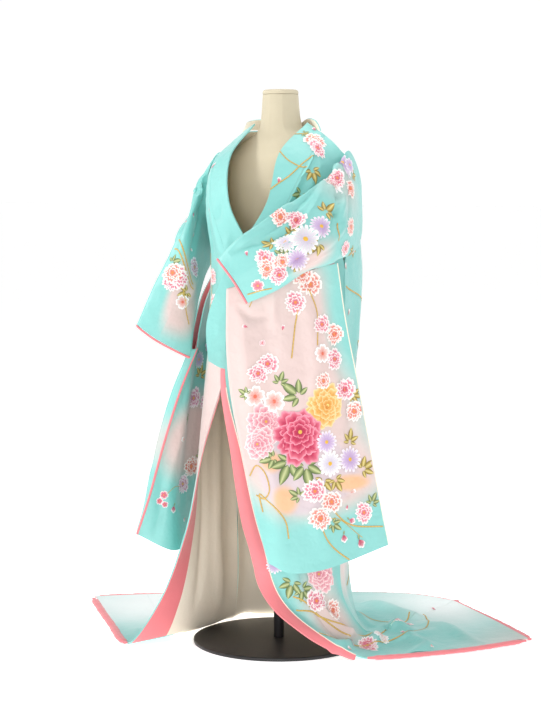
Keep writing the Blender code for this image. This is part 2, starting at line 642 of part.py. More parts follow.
def build_form():
    lathe("form_torso", TORSO, "linen")
    cap = [FormRow(1.4883, .006, -.002, .044, .043), FormRow(1.4895, .006, -.002, .0475, .0465),
           FormRow(1.494, .006, -.002, .0475, .0465), FormRow(1.502, .006, -.002, .040, .039)]
    lathe("form_cap", cap, "linen")
    pole = [FormRow(BASE_THICKNESS + SEAM_GAP, 0, 0, POLE_RADIUS, POLE_RADIUS),
            FormRow(.830 - SEAM_GAP, 0, 0, POLE_RADIUS, POLE_RADIUS)]
    lathe("form_pole", pole, "stand_black", 20)
    base = [FormRow(0, 0, 0, BASE_RADIUS, BASE_RADIUS), FormRow(BASE_THICKNESS * .6, 0, 0, BASE_RADIUS, BASE_RADIUS),
            FormRow(BASE_THICKNESS, 0, 0, BASE_RADIUS - .006, BASE_RADIUS - .006)]
    lathe("form_base", base, "stand_black", 48)


def main():
    for old in list(bpy.data.objects):
        bpy.data.objects.remove(old)
    sides = ((COLUMN["front_side_right"], COLUMN["back_side_right"]),
             (COLUMN["back_side_left"], COLUMN["front_side_left"]))
    surface = Surface(body_rows(), FOLDS, FLOOR_LIFT + CLOTH, joined=sides, ridge=True)
    build_body(surface)
    build_collar(surface)
    build_linings(surface)
    build_bands(surface)
    build_fuki(surface)
    build_sleeves()
    build_form()


main()
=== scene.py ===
"""Looks of a turquoise silk uchikake worn by a linen dress form.

Every sheet of cloth is a thin wall on the same smooth surfaces as its solid, with listed
creases. The dyed ground is a colour on the cloth's points, and the flowers, leaves and cords are
flat shapes laid on the cloth. Metres, +Z up, the garment's front faces -Y.
"""
import logging
import math
from dataclasses import dataclass
from enum import Enum
from typing import Callable, NamedTuple, Sequence

import bpy
import numpy as np
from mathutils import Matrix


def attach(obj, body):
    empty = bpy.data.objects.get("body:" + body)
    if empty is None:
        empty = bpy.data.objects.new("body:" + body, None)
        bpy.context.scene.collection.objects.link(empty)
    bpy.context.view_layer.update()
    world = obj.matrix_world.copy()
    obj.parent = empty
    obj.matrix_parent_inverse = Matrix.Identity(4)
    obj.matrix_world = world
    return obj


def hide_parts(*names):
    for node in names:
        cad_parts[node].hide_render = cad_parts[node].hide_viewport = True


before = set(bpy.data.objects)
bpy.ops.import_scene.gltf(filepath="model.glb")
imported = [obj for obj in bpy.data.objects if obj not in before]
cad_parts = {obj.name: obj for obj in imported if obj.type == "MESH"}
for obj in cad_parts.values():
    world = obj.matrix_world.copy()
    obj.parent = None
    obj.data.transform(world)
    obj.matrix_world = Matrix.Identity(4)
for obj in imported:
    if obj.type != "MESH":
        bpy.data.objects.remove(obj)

logging.basicConfig(level=logging.INFO, format="%(message)s")
LOG = logging.getLogger("uchikake")

Array = np.ndarray
Place = tuple[float, float]
Point = tuple[float, float, float]

# ---- cloth measures (metres) ---------------------------------------------------------------
WALL = 0.0036            # outer silk, wadding and lining of one sheet
LINING = 0.0012
FACING = 0.0016
SEAM_GAP = 0.0003
FLOOR = 0.0015           # lowest cloth above the floor
LINING_DEPTH = 0.0042    # how far inside the outer face the lining starts
DYE_LIFT = 0.0006        # dyed shapes above the cloth
LAYER_LIFT = 0.00003     # one dyed layer above another
CLOTH_STEP = 0.010       # spacing of the cloth's points down a sheet
PER_COLUMN = 10          # points between two seam columns


class Level(NamedTuple):
    """One level of the body: a point for each seam line, from the collar round to the back."""
    name: str
    collar: Point | None
    seam: Point
    okumi: Point
    front: Point
    front_side: Point
    back_side: Point
    back: Point


RIGHT: list[Level] = [
    Level("shoulder", (-.060, -.030, 1.412), (-.112, -.006, 1.393), (-.122, .005, 1.388),
          (-.160, .0055, 1.366), (-.200, .011, 1.326), (-.200, .0145, 1.326),
          (-.118, .0125, 1.391)),
    Level("chest", (-.047, -.160, 1.322), (-.108, -.140, 1.310), (-.120, -.130, 1.310),
          (-.160, -.085, 1.300), (-.196, -.015, 1.250), (-.190, .075, 1.250), (-.126, .130, 1.290)),
    Level("bust", (-.012, -.214, 1.204), (-.086, -.192, 1.205), (-.100, -.180, 1.205),
          (-.148, -.120, 1.200), (-.186, -.008, 1.150), (-.182, .075, 1.150), (-.130, .170, 1.170)),
    Level("crossing", (.062, -.198, 1.050), (-.012, -.218, 1.050), (-.060, -.200, 1.050),
          (-.128, -.132, 1.050), (-.183, .027, 1.030), (-.183, .034, 1.030), (-.128, .176, 1.030)),
    Level("waist", (.065, -.190, .900), (.010, -.214, .900), (-.062, -.200, .900),
          (-.136, -.130, .900), (-.187, .028, .900), (-.187, .034, .900), (-.124, .172, .900)),
    Level("parting", (.030, -.211, .790), (-.010, -.231, .767), (-.102, -.186, .770),
          (-.152, -.108, .770), (-.188, .033, .770), (-.188, .037, .770), (-.118, .168, .770)),
    Level("thigh", None, (-.078, -.246, .550), (-.142, -.172, .550),
          (-.172, -.085, .550), (-.184, .038, .550), (-.184, .042, .550), (-.116, .164, .550)),
    Level("knee", None, (-.137, -.246, .320), (-.170, -.152, .320),
          (-.182, -.070, .320), (-.180, .050, .320), (-.180, .054, .320), (-.114, .168, .320)),
    Level("ankle", None, (-.214, -.262, .125), (-.190, -.162, .130),
          (-.186, -.070, .130), (-.186, .060, .130), (-.186, .064, .130), (-.124, .186, .130)),
    Level("floor", None, (-.287, -.288, .014), (-.225, -.160, .026),
          (-.216, -.050, .026), (-.220, .090, .026), (-.220, .094, .026), (-.145, .222, .026)),
    Level("train", None, (-.488, -.125, .008), (-.400, -.010, .010),
          (-.348, .090, .012), (-.312, .205, .012), (-.312, .209, .012), (-.205, .325, .012)),
    Level("hem", None, (-.735, .090, .008), (-.625, .200, .008),
          (-.512, .292, .010), (-.392, .380, .010), (-.389, .383, .010), (-.255, .480, .010)),
]
LEFT: list[Level] = [
    Level("shoulder", (.083, .012, 1.414), (.134, .006, 1.384), (.141, .008, 1.379),
          (.170, .010, 1.358), (.200, .018, 1.324), (.200, .022, 1.324), (.118, .0145, 1.391)),
    Level("chest", (.088, -.128, 1.330), (.152, -.088, 1.312), (.160, -.080, 1.308),
          (.176, -.050, 1.290), (.194, -.012, 1.250), (.188, .074, 1.250), (.126, .132, 1.290)),
    Level("bust", (.092, -.189, 1.204), (.138, -.162, 1.205), (.146, -.152, 1.205),
          (.166, -.105, 1.200), (.184, -.005, 1.150), (.182, .076, 1.150), (.134, .174, 1.170)),
    Level("crossing", (.010, -.236, 1.050), (.082, -.216, 1.050), (.108, -.194, 1.050),
          (.146, -.122, 1.050), (.190, .029, 1.030), (.190, .036, 1.030), (.148, .188, 1.030)),
    Level("waist", (-.055, -.250, .900), (.012, -.240, .900), (.074, -.206, .900),
          (.136, -.122, .900), (.194, .026, .900), (.194, .032, .900), (.140, .182, .900)),
    Level("parting", (-.043, -.262, .790), (-.003, -.243, .770), (.074, -.202, .770),
          (.138, -.116, .770), (.192, .027, .770), (.192, .032, .770), (.128, .175, .770)),
    Level("thigh", None, (.034, -.222, .550), (.100, -.156, .550),
          (.152, -.088, .550), (.184, .028, .550), (.184, .032, .550), (.116, .162, .550)),
    Level("knee", None, (.078, -.192, .320), (.130, -.126, .320),
          (.164, -.070, .320), (.178, .032, .320), (.178, .036, .320), (.112, .162, .320)),
    Level("ankle", None, (.142, -.148, .130), (.176, -.094, .130),
          (.186, -.040, .130), (.184, .042, .130), (.184, .046, .130), (.118, .180, .130)),
    Level("floor", None, (.290, -.062, .014), (.245, -.004, .026),
          (.226, .056, .026), (.208, .124, .026), (.208, .128, .026), (.120, .222, .026)),
    Level("train", None, (.450, .130, .008), (.356, .202, .010),
          (.280, .268, .012), (.200, .332, .012), (.197, .335, .012), (.075, .395, .012)),
    Level("hem", None, (.572, .372, .008), (.428, .482, .008),
          (.305, .566, .010), (.187, .648, .010), (.183, .650, .010), (.035, .656, .010)),
]
CENTRE_BACK: list[Point] = [(0, .104, 1.384), (0, .160, 1.290), (0, .195, 1.170), (0, .205, 1.030),
               (0, .205, .900), (0, .203, .770), (-.003, .200, .550), (-.008, .202, .320),
               (-.015, .222, .130), (-.025, .262, .026), (-.068, .395, .012), (-.118, .580, .010)]


class Fold(NamedTuple):
    """A soft fold of the skirt: its column, levels and how far it stands out."""
    across: float
    width: float
    top: float
    bottom: float
    height: float


FOLDS: list[Fold] = [
    Fold(3.67, .28, 6.0, 9.5, .012),
    Fold(5.33, .26, 5.0, 10.6, .018),
    Fold(6.33, .24, 6.5, 11.0, -.012),
    Fold(7.0, .30, 4.5, 10.2, .016),
    Fold(7.67, .26, 6.0, 10.8, .016),
    Fold(8.33, .22, 7.0, 9.6, -.010),
    Fold(9.67, .25, 6.5, 10.4, .014),
    Fold(11.33, .24, 7.5, 10.6, .016),
    Fold(12.0, .22, 7.0, 9.8, -.008),
]


class Ring(NamedTuple):
    """One ring of points round a sleeve's arm."""
    name: str
    front: Point
    top: Point
    back: Point
    under: Point


LEFT_ARM: list[Ring] = [
    Ring("armhole", (.212, -.042, 1.250), (.207, .024, 1.338), (.206, .090, 1.235),
         (.200, .034, 1.085)),
    Ring("upper arm", (.202, -.118, 1.243), (.240, -.030, 1.252), (.224, .062, 1.115),
         (.210, -.010, 1.095)),
    Ring("elbow", (.168, -.192, 1.197), (.262, -.130, 1.160), (.254, -.108, 1.052),
         (.196, -.150, 1.090)),
    Ring("forearm", (.136, -.259, 1.157), (.240, -.236, 1.092), (.226, -.212, 1.026),
         (.156, -.212, 1.075)),
    Ring("wrist", (.096, -.311, 1.119), (.186, -.304, 1.054), (.186, -.273, .984),
         (.124, -.262, 1.035)),
    Ring("cuff", (.050, -.343, 1.064), (.104, -.350, 1.012), (.124, -.316, .951),
         (.082, -.308, 1.000)),
]
RIGHT_ARM: list[Ring] = [
    Ring("armhole", (-.206, -.045, 1.250), (-.206, .014, 1.338), (-.206, .104, 1.240),
         (-.203, .034, 1.085)),
    Ring("sleeve head", (-.214, -.060, 1.238), (-.222, .006, 1.310), (-.234, .092, 1.215),
         (-.216, .022, 1.070)),
    Ring("upper arm", (-.200, -.112, 1.175), (-.226, -.052, 1.217), (-.250, .040, 1.122),
         (-.213, -.022, 1.035)),
    Ring("elbow", (-.172, -.182, 1.075), (-.214, -.166, 1.122), (-.240, -.085, 1.040),
         (-.196, -.084, .975)),
    Ring("forearm", (-.172, -.204, .985), (-.228, -.207, 1.040), (-.234, -.150, .975),
         (-.176, -.138, .905)),
    Ring("wrist", (-.188, -.232, .915), (-.248, -.235, .975), (-.240, -.190, .910),
         (-.162, -.172, .845)),
    Ring("cuff", (-.215, -.260, .838), (-.271, -.275, .878), (-.230, -.216, .838),
         (-.149, -.202, .793)),
]


class BagRow(NamedTuple):
    """One row across a hanging sleeve, from its folded edge to its open edge."""
    name: str
    fold: Point
    near: Point
    far: Point
    opening: Point
    depth: float


LEFT_BAG: list[BagRow] = [
    BagRow("top", (.054, -.300, .985), (.110, -.255, 1.004), (.185, -.180, 1.026),
           (.246, -.092, 1.046), .012),
    BagRow("upper", (.052, -.303, .860), (.122, -.255, .880), (.198, -.175, .890),
           (.260, -.074, .899), .022),
    BagRow("middle", (.064, -.298, .700), (.136, -.250, .700), (.214, -.165, .705),
           (.285, -.044, .712), .028),
    BagRow("lower", (.088, -.281, .545), (.156, -.238, .540), (.232, -.154, .535),
           (.308, -.016, .530), .028),
    BagRow("foot", (.110, -.258, .395), (.170, -.228, .385), (.248, -.150, .390),
           (.325, .001, .405), .022),
    BagRow("bottom", (.135, -.236, .268), (.190, -.218, .248), (.258, -.148, .256),
           (.340, .017, .301), .006),
]
RIGHT_BAG: list[BagRow] = [
    BagRow("top", (-.157, -.158, .812), (-.177, -.116, .872), (-.198, -.058, .942),
           (-.216, .015, 1.000), .012),
    BagRow("upper", (-.180, -.200, .700), (-.192, -.140, .715), (-.208, -.070, .740),
           (-.224, .010, .760), .020),
    BagRow("middle", (-.218, -.226, .550), (-.206, -.160, .545), (-.220, -.080, .545),
           (-.234, .000, .550), .026),
    BagRow("lower", (-.252, -.250, .400), (-.215, -.196, .385), (-.230, -.100, .390),
           (-.244, -.010, .400), .022),
    BagRow("bottom", (-.278, -.268, .305), (-.204, -.212, .262), (-.222, -.110, .270),
           (-.246, -.020, .295), .006),
]


class FormRow(NamedTuple):
    """One height of the dress form."""
    height: float
    centre_x: float
    centre_y: float
    half_width: float
    half_depth: float


TORSO: list[FormRow] = [
    FormRow(.830, 0, .000, .100, .072), FormRow(.838, 0, .000, .140, .102),
    FormRow(.900, 0, .002, .150, .108),
    FormRow(1.000, 0, .002, .132, .096), FormRow(1.060, 0, .000, .126, .092),
    FormRow(1.160, 0, -.004, .142, .104),
    FormRow(1.240, 0, -.004, .152, .108), FormRow(1.310, 0, .002, .158, .092),
    FormRow(1.345, 0, .008, .140, .076),
    FormRow(1.370, 0, .010, .102, .064), FormRow(1.392, .002, .008, .066, .058),
    FormRow(1.420, .003, .004, .054, .053),
    FormRow(1.460, .005, .000, .050, .049), FormRow(1.488, .006, -.002, .048, .047),
]


COLUMN = {"collar_right": 0, "seam_right": 1, "okumi_right": 2, "front_right": 3,
          "front_side_right": 4,
          "back_side_right": 5, "back_right": 6, "centre_back": 7, "back_left": 8,
          "back_side_left": 9,
          "front_side_left": 10, "front_left": 11, "okumi_left": 12, "seam_left": 13,
          "collar_left": 14}
FLOOR_LEVEL = 9          # level where the cloth comes down to the floor
FACING_WIDTH = 0.038     # coral facing that shows past the left front edge
FACING_DROP = 0.010      # how far the facing's free side curls back
PIPING_RADIUS = 0.0016   # cream cord between the left front and its facing
NECK_BAND_RISE = 0.027   # collar band round the back of the neck: how far it stands up
NECK_BAND_LEAN = 0.0162  # and how far it leans in to the neck
CUFF_RADIUS = 0.0030     # coral roll round the cuff
CUFF_OUT = 0.0038        # how far the roll's centre lies beyond the sleeve's end
BAG_FRONT = (.574, -.819, 0)   # the way the hanging bags' showing faces look
BAG_FOLD_BULGE = 0.008   # most that a bag's fold swells out
HEM_ROLL_WIDTH = 0.024   # coral roll along the hem and the front edges
HEM_ROLL_HEIGHT = 0.0112
HEM_ROLL_OUT = 0.008     # how far the roll's centre lies beyond the cloth's edge
HEM_PAD_LIFT = 0.004     # how far the roll's padding raises the cloth beside it
HEM_PAD_REACH = 0.035    # how far in from the edge the padding raises it
COLLAR_TAIL = 0.5        # how far the surface runs on past the front edges below the collar
SEAM_LEVEL = 3           # level below which the side seams are closed
COLLAR_END = 5           # level of the collar's ends
HEM = 11                 # level of the hem
WALL_LIGHT = 1.02        # brightness of the studio's walls
CEILING_LIGHT = 0.30     # brightness of its ceiling
FLOOR_GLOW = 0.60        # brightness that the floor gives off of its own
STUDIO_REACH = 90.0      # half the floor's side


# ---- smooth surfaces and creases -------------------------------------------------------------
def smooth_rows(values: Array, knots: Array, at: Array) -> Array:
    """Reads smooth curves through rows of values.

    Args:
        values: one row for each knot, with any further axes.
        knots: rising places of the rows.
        at: places to read.

    Returns:
        One row for each place in at.
    """
    shape = (-1,) + (1,) * (values.ndim - 1)
    steps = np.diff(knots)
    rates = np.diff(values, axis=0) / steps.reshape(shape)
    share = (steps[1:] / (steps[1:] + steps[:-1])).reshape(shape)
    slopes = np.concatenate([rates[:1], share * rates[:-1] + (1 - share) * rates[1:], rates[-1:]])
    low = np.clip(np.searchsorted(knots, at, side="right") - 1, 0, len(knots) - 2)
    span = steps[low].reshape(shape)
    t = ((at - knots[low]) / steps[low]).reshape(shape)
    return ((2 * t ** 3 - 3 * t ** 2 + 1) * values[low]
            + (t ** 3 - 2 * t ** 2 + t) * slopes[low] * span
            + (3 * t ** 2 - 2 * t ** 3) * values[low + 1]
            + (t ** 3 - t ** 2) * slopes[low + 1] * span)


def unit(vectors: Array) -> Array:
    """Vectors of length one along the last axis."""
    return vectors / np.maximum(np.linalg.norm(vectors, axis=-1, keepdims=True), 1e-9)


@dataclass(frozen=True)
class Crease:
    """A soft trough (height below 0) or ridge along a line of places on the cloth."""
    path: Sequence[Place]
    width: float
    height: float


class TableSurface:
    """A smooth surface through a table of points: rows go down, columns go across."""

    def __init__(self, rows: Sequence[Sequence[Point]], ring: bool = False) -> None:
        """Args:
            rows: the table.
            ring: whether the last column joins the first.
        """
        table = np.asarray(rows, float)
        if ring:
            table = np.concatenate([table[:, -1:], table, table[:, :2]], axis=1)
        steps = np.linalg.norm(np.diff(table, axis=0), axis=2).mean(axis=1)
        self.table = table
        self.down_knots = np.concatenate([[0], np.cumsum(steps)])
        self.across_knots = np.arange(table.shape[1], dtype=float) - (1 if ring else 0)

    def grid(self, across: Array, down: Array) -> Array:
        """Points at every across of every down, where down counts table rows."""
        places = np.interp(down, np.arange(len(self.down_knots)), self.down_knots)
        lines = smooth_rows(self.table, self.down_knots, places)
        return smooth_rows(lines.transpose(1, 0, 2), self.across_knots, across).transpose(1, 0, 2)

    def row_places(self, step: float) -> Array:
        """Places down the table about one step apart, with one on every table row."""
        places: list[float] = []
        for row, length in enumerate(np.diff(self.down_knots)):
            places.extend(np.linspace(row, row + 1, max(3, round(length / step)), endpoint=False))
        return np.array(places + [len(self.down_knots) - 1])


def grid_normals(points: Array, ring: bool = False) -> Array:
    """Unit normals of a grid of points, from its neighbours."""
    if ring:
        across = np.roll(points, -1, axis=1) - np.roll(points, 1, axis=1)
    else:
        across = np.gradient(points, axis=1)
    return unit(np.cross(across, np.gradient(points, axis=0)))


class Cloth:
    """A finely sampled sheet with its creases, which can be read at any place on it."""

    def __init__(self, points: Array, across: Array, down: Array, ring: bool = False) -> None:
        """Args:
            points: grid [down][across] of points.
            across: the columns' places.
            down: the rows' places.
            ring: whether the last column joins the first.
        """
        self.points = points
        self.across = across
        self.down = down
        self.ring = ring
        self.normals = grid_normals(points, ring)

    def crease(self, creases: Sequence[Crease]) -> None:
        """Moves the points along their normals for each crease."""
        lift = np.zeros(self.points.shape[:2])
        for crease in creases:
            stops = np.linspace(0, len(crease.path) - 1, 8 * len(crease.path))
            places = np.array([np.interp(stops, np.arange(len(crease.path)),
                                         part) for part in zip(*crease.path)])
            line = self.read(places[0], places[1])[0]
            nearest = np.full(lift.shape, np.inf)
            along = np.zeros(lift.shape)
            for i, (start, end) in enumerate(zip(line, line[1:])):
                step = end - start
                t = np.clip(((self.points - start) @ step) / max(step @ step, 1e-12), 0, 1)
                gap = np.linalg.norm(self.points - start - t[..., None] * step, axis=2)
                closer = gap < nearest
                nearest = np.where(closer, gap, nearest)
                along = np.where(closer, (i + t) / (len(line) - 1), along)
            taper = np.sin(np.pi * np.clip(along, 0.0, 1.0)) ** 0.6
            lift += crease.height * taper * np.exp(-(nearest / crease.width) ** 2)
        self.points = self.points + self.normals * lift[..., None]
        self.normals = grid_normals(self.points, self.ring)

    def read(self, across: Array, down: Array) -> tuple[Array, Array]:
        """Points and normals at places on the cloth."""
        columns = np.interp(across, self.across, np.arange(len(self.across)))
        rows = np.interp(down, self.down, np.arange(len(self.down)))
        c = np.clip(columns.astype(int), 0, len(self.across) - 2)
        r = np.clip(rows.astype(int), 0, len(self.down) - 2)
        s = (columns - c)[..., None]
        t = (rows - r)[..., None]
        found = []
        for grid in (self.points, self.normals):
            top = grid[r, c] * (1 - s) + grid[r, c + 1] * s
            low = grid[r + 1, c] * (1 - s) + grid[r + 1, c + 1] * s
            found.append(top * (1 - t) + low * t)
        return found[0], unit(found[1])

    def part(self, first: float, last: float, top: float, bottom: float) -> "Cloth":
        """The sheet between two columns and two levels."""
        small = 1e-6
        columns = (self.across >= first - small) & (self.across <= last + small)
        rows = (self.down >= top - small) & (self.down <= bottom + small)
        cut = Cloth(self.points[rows][:, columns], self.across[columns], self.down[rows])
        cut.normals = self.normals[rows][:, columns]
        return cut


# ---- dyed ground -----------------------------------------------------------------------------
def linear(colour: str) -> Array:
    """Linear red, green and blue of an sRGB hex colour."""
    channels = np.array([int(colour[i:i + 2], 16) for i in (1, 3, 5)]) / 255
    return np.where(channels <= 0.04045, channels / 12.92, ((channels + 0.055) / 1.055) ** 2.4)


@dataclass(frozen=True)
class Haze:
    """A soft oval of another colour on the ground: its middle, half sizes and soft share."""
    across: float
    down: float
    half_across: float
    half_down: float
    colour: str
    soft: float = 0.5
    strength: float = 1.0

    def mask(self, across: Array, down: Array) -> Array:
        """How much of this colour each place has, from 0 to 1."""
        reach = np.hypot((across - self.across) / self.half_across,
                         (down - self.down) / self.half_down)
        share = np.clip((1 - reach) / self.soft, 0, 1)
        return self.strength * share * share * (3 - 2 * share)


def dyed(ground: str, hazes: Sequence[Haze], across: Array, down: Array) -> Array:
    """Ground colours at places on a cloth, with each haze over the ones before it."""
    colours = np.broadcast_to(linear(ground), across.shape + (3,)).copy()
    for haze in hazes:
        share = haze.mask(across, down)[..., None]
        colours = colours * (1 - share) + linear(haze.colour) * share
    return colours


# ---- meshes ----------------------------------------------------------------------------------
@dataclass
class Skin:
    """Faces, dye and flat cloth places of a mesh that is being put together."""
    points: Array
    faces: list[tuple[int, ...]]
    dye: Array
    weave: Array
    slots: Sequence[int] | None = None

    def build(self, name: str, materials: Sequence[bpy.types.Material],
              smooth_angle: float = 50) -> bpy.types.Object:
        """Makes the object.

        Args:
            name: the piece's name.
            materials: its material slots.
            smooth_angle: degrees above which an edge stays sharp.

        Returns:
            The new object, in the scene.
        """
        mesh = bpy.data.meshes.new(name)
        mesh.from_pydata(self.points.tolist(), [], self.faces)
        dye = mesh.attributes.new("dye", "FLOAT_COLOR", "POINT")
        dye.data.foreach_set("color",
                             np.concatenate([self.dye, np.ones((len(self.dye), 1))],
                                            axis=1).ravel())
        weave = mesh.attributes.new("weave", "FLOAT_VECTOR", "POINT")
        weave.data.foreach_set("vector", self.weave.ravel())
        for material in materials:
            mesh.materials.append(material)
        if self.slots is not None:
            mesh.polygons.foreach_set("material_index", np.asarray(self.slots, np.int32))
        mesh.shade_smooth()
        mesh.set_sharp_from_angle(angle=math.radians(smooth_angle))
        mesh.update()
        made = bpy.data.objects.new(name, mesh)
        bpy.context.scene.collection.objects.link(made)
        LOG.info("%-24s %6d faces", name, len(self.faces))
        return made


def flat_places(points: Array) -> Array:
    """Metres across and down along a grid, as a weaver would measure them."""
    across = np.linalg.norm(np.diff(points, axis=1, prepend=points[:, :1]), axis=2).cumsum(axis=1)
    down = np.linalg.norm(np.diff(points, axis=0, prepend=points[:1]), axis=2).cumsum(axis=0)
    middle = across[:, across.shape[1] // 2][:, None]
    return np.stack([across - middle, down, np.zeros_like(down)], axis=2)


def oriented(points: Array, faces: list[tuple[int, ...]]) -> list[tuple[int, ...]]:
    """The faces turned so that a closed mesh faces out."""
    corners = points[np.array([face[:3] for face in faces])]
    middle = points.mean(axis=0)
    volume = np.einsum("ij,ij->", corners[:, 0] - middle,
                       np.cross(corners[:, 1] - middle, corners[:, 2] - middle))
    return faces if volume > 0 else [face[::-1] for face in faces]


def wall_skin(outer: Array, inner: Array, dye: Array, ring: bool = False) -> Skin:
    """A closed wall between two grids.

    Args:
        outer: grid of outer points.
        inner: grid of inner points.
        dye: colours of the outer points.
        ring: whether the last column joins the first.

    Returns:
        A skin whose slot 0 is the outer cloth and rim, and slot 1 the inner face.
    """
    rows, columns = outer.shape[:2]
    steps = columns if ring else columns - 1
    back = rows * columns
    faces: list[tuple[int, ...]] = []
    slots: list[int] = []
    for r in range(rows - 1):
        for c in range(steps):
            n = (c + 1) % columns
            a, b = r * columns + c, r * columns + n
            faces += [(a, b, b + columns, a + columns),
                      (back + a, back + a + columns, back + b + columns, back + b)]
            slots += [0, 1]
    low = (rows - 1) * columns
    for c in range(steps):
        n = (c + 1) % columns
        faces += [(c, back + c, back + n, n), (low + c, low + n, back + low + n, back + low + c)]
        slots += [0, 0]
    if not ring:
        for r in range(rows - 1):
            a, e = r * columns, (r + 1) * columns - 1
            faces += [(a, a + columns, back + a + columns, back + a),
                      (e, back + e, back + e + columns, e + columns)]
            slots += [0, 0]
    points = np.concatenate([outer.reshape(-1, 3), inner.reshape(-1, 3)])
    flat = flat_places(outer).reshape(-1, 3)
    colours = np.tile(dye.reshape(-1, 3), (2, 1))
    return Skin(points, oriented(points, faces), colours, np.tile(flat, (2, 1)), slots)


def tube_skin(path: Array, side: Array, up: Array, half_width: Array, half_height: Array,
              colour: str,
              sides: int = 12, ring: bool = False) -> Skin:
    """A closed roll along a path.

    Args:
        path: its centreline.
        side: unit vectors across it.
        up: unit vectors square to those.
        half_width: half its size along side, at each point.
        half_height: half its size along up, at each point.
        colour: its sRGB hex colour.
        sides: points round it.
        ring: whether its end joins its start.

    Returns:
        Its skin.
    """
    turns = np.arange(sides) * 2 * math.pi / sides
    points = (path[:, None] + side[:, None] * np.cos(turns)[None, :, None] * half_width[:, None,
                                                                                        None]
              + up[:, None] * np.sin(turns)[None, :, None] * half_height[:, None, None])
    rows = len(path)
    faces: list[tuple[int, ...]] = []
    for r in range(rows if ring else rows - 1):
        for c in range(sides):
            n, s = (c + 1) % sides, (r + 1) % rows
            faces.append((r * sides + c, r * sides + n, s * sides + n, s * sides + c))
    if not ring:
        faces.append(tuple(range(sides))[::-1])
        faces.append(tuple((rows - 1) * sides + c for c in range(sides)))
    flat = flat_places(points).reshape(-1, 3)
    everywhere = points.reshape(-1, 3)
    return Skin(everywhere, oriented(everywhere, faces),
                np.tile(linear(colour), (len(everywhere), 1)), flat)


def joined(skins: Sequence[Skin]) -> Skin:
    """Several skins as one."""
    faces: list[tuple[int, ...]] = []
    slots: list[int] = []
    start = 0
    for skin in skins:
        faces += [tuple(i + start for i in face) for face in skin.faces]
        slots += list(skin.slots) if skin.slots is not None else [0] * len(skin.faces)
        start += len(skin.points)
    return Skin(np.concatenate([s.points for s in skins]), faces,
                np.concatenate([s.dye for s in skins]),
                np.concatenate([s.weave for s in skins]), slots)


# ---- dyed flowers, leaves, petals and cords --------------------------------------------------
@dataclass(frozen=True)
class Tint:
    """Colours of one petal, from its rim to its root, and of the flower's centre."""
    rim: str
    body: str
    root: str
    centre: str


class Dye(Enum):
    """The named colourways."""
    ROSE = Tint("#FFF4F3", "#F08FA2", "#D64B69", "#EE8F4E")
    SALMON = Tint("#FFF6F2", "#F2998A", "#DC5540", "#EE8F4E")
    SNOW = Tint("#FFFFFF", "#FBE0DA", "#EF9080", "#E8735A")
    CRIMSON = Tint("#F4A9BA", "#D42E5A", "#98103C", "#E9B84E")
    AMBER = Tint("#FDE7B4", "#F6B556", "#E2882A", "#F7E28A")
    BLUSH = Tint("#FFF3F1", "#F0A0AC", "#D65F7A", "#E9AE54")
    LILAC = Tint("#F8F0F9", "#E2CBEA", "#C4A0D6", "#EDBB3A")
    PEARL = Tint("#FFFFFF", "#F5F1F6", "#D9CBE4", "#EDBB3A")
    MAUVE = Tint("#FDF1F6", "#E8A2C2", "#BE5C92", "#E9B84E")
    LEAF = Tint("#C9CF96", "#87985A", "#4B6238", "#DCD58C")
    OLIVE = Tint("#E8D68E", "#B79F45", "#75622A", "#F2E6A8")
    # the cord's gold: its pale rim colour is a painted highlight along the cord's middle, its body
    # and root painted shade towards its sides
    CORD = Tint("#E9CF7C", "#D2A640", "#B08226", "#F3E0A0")


class Motif(Enum):
    """The kinds of flower and leaf."""
    BLOSSOM = 1
    DOUBLE = 2
    PEONY = 3
    DAISY = 4
    LEAVES = 5
    PETAL = 6
    BUD = 7


class Spot(NamedTuple):
    """One motif on a cloth: its kind, dye, place, size in metres and turn in degrees."""
    motif: Motif
    dye: Dye
    across: float
    down: float
    size: float
    turn: float = 0.0


class Cord(NamedTuple):
    """A dyed gold cord along places on a cloth."""
    path: Sequence[Place]
    width: float = 0.0028


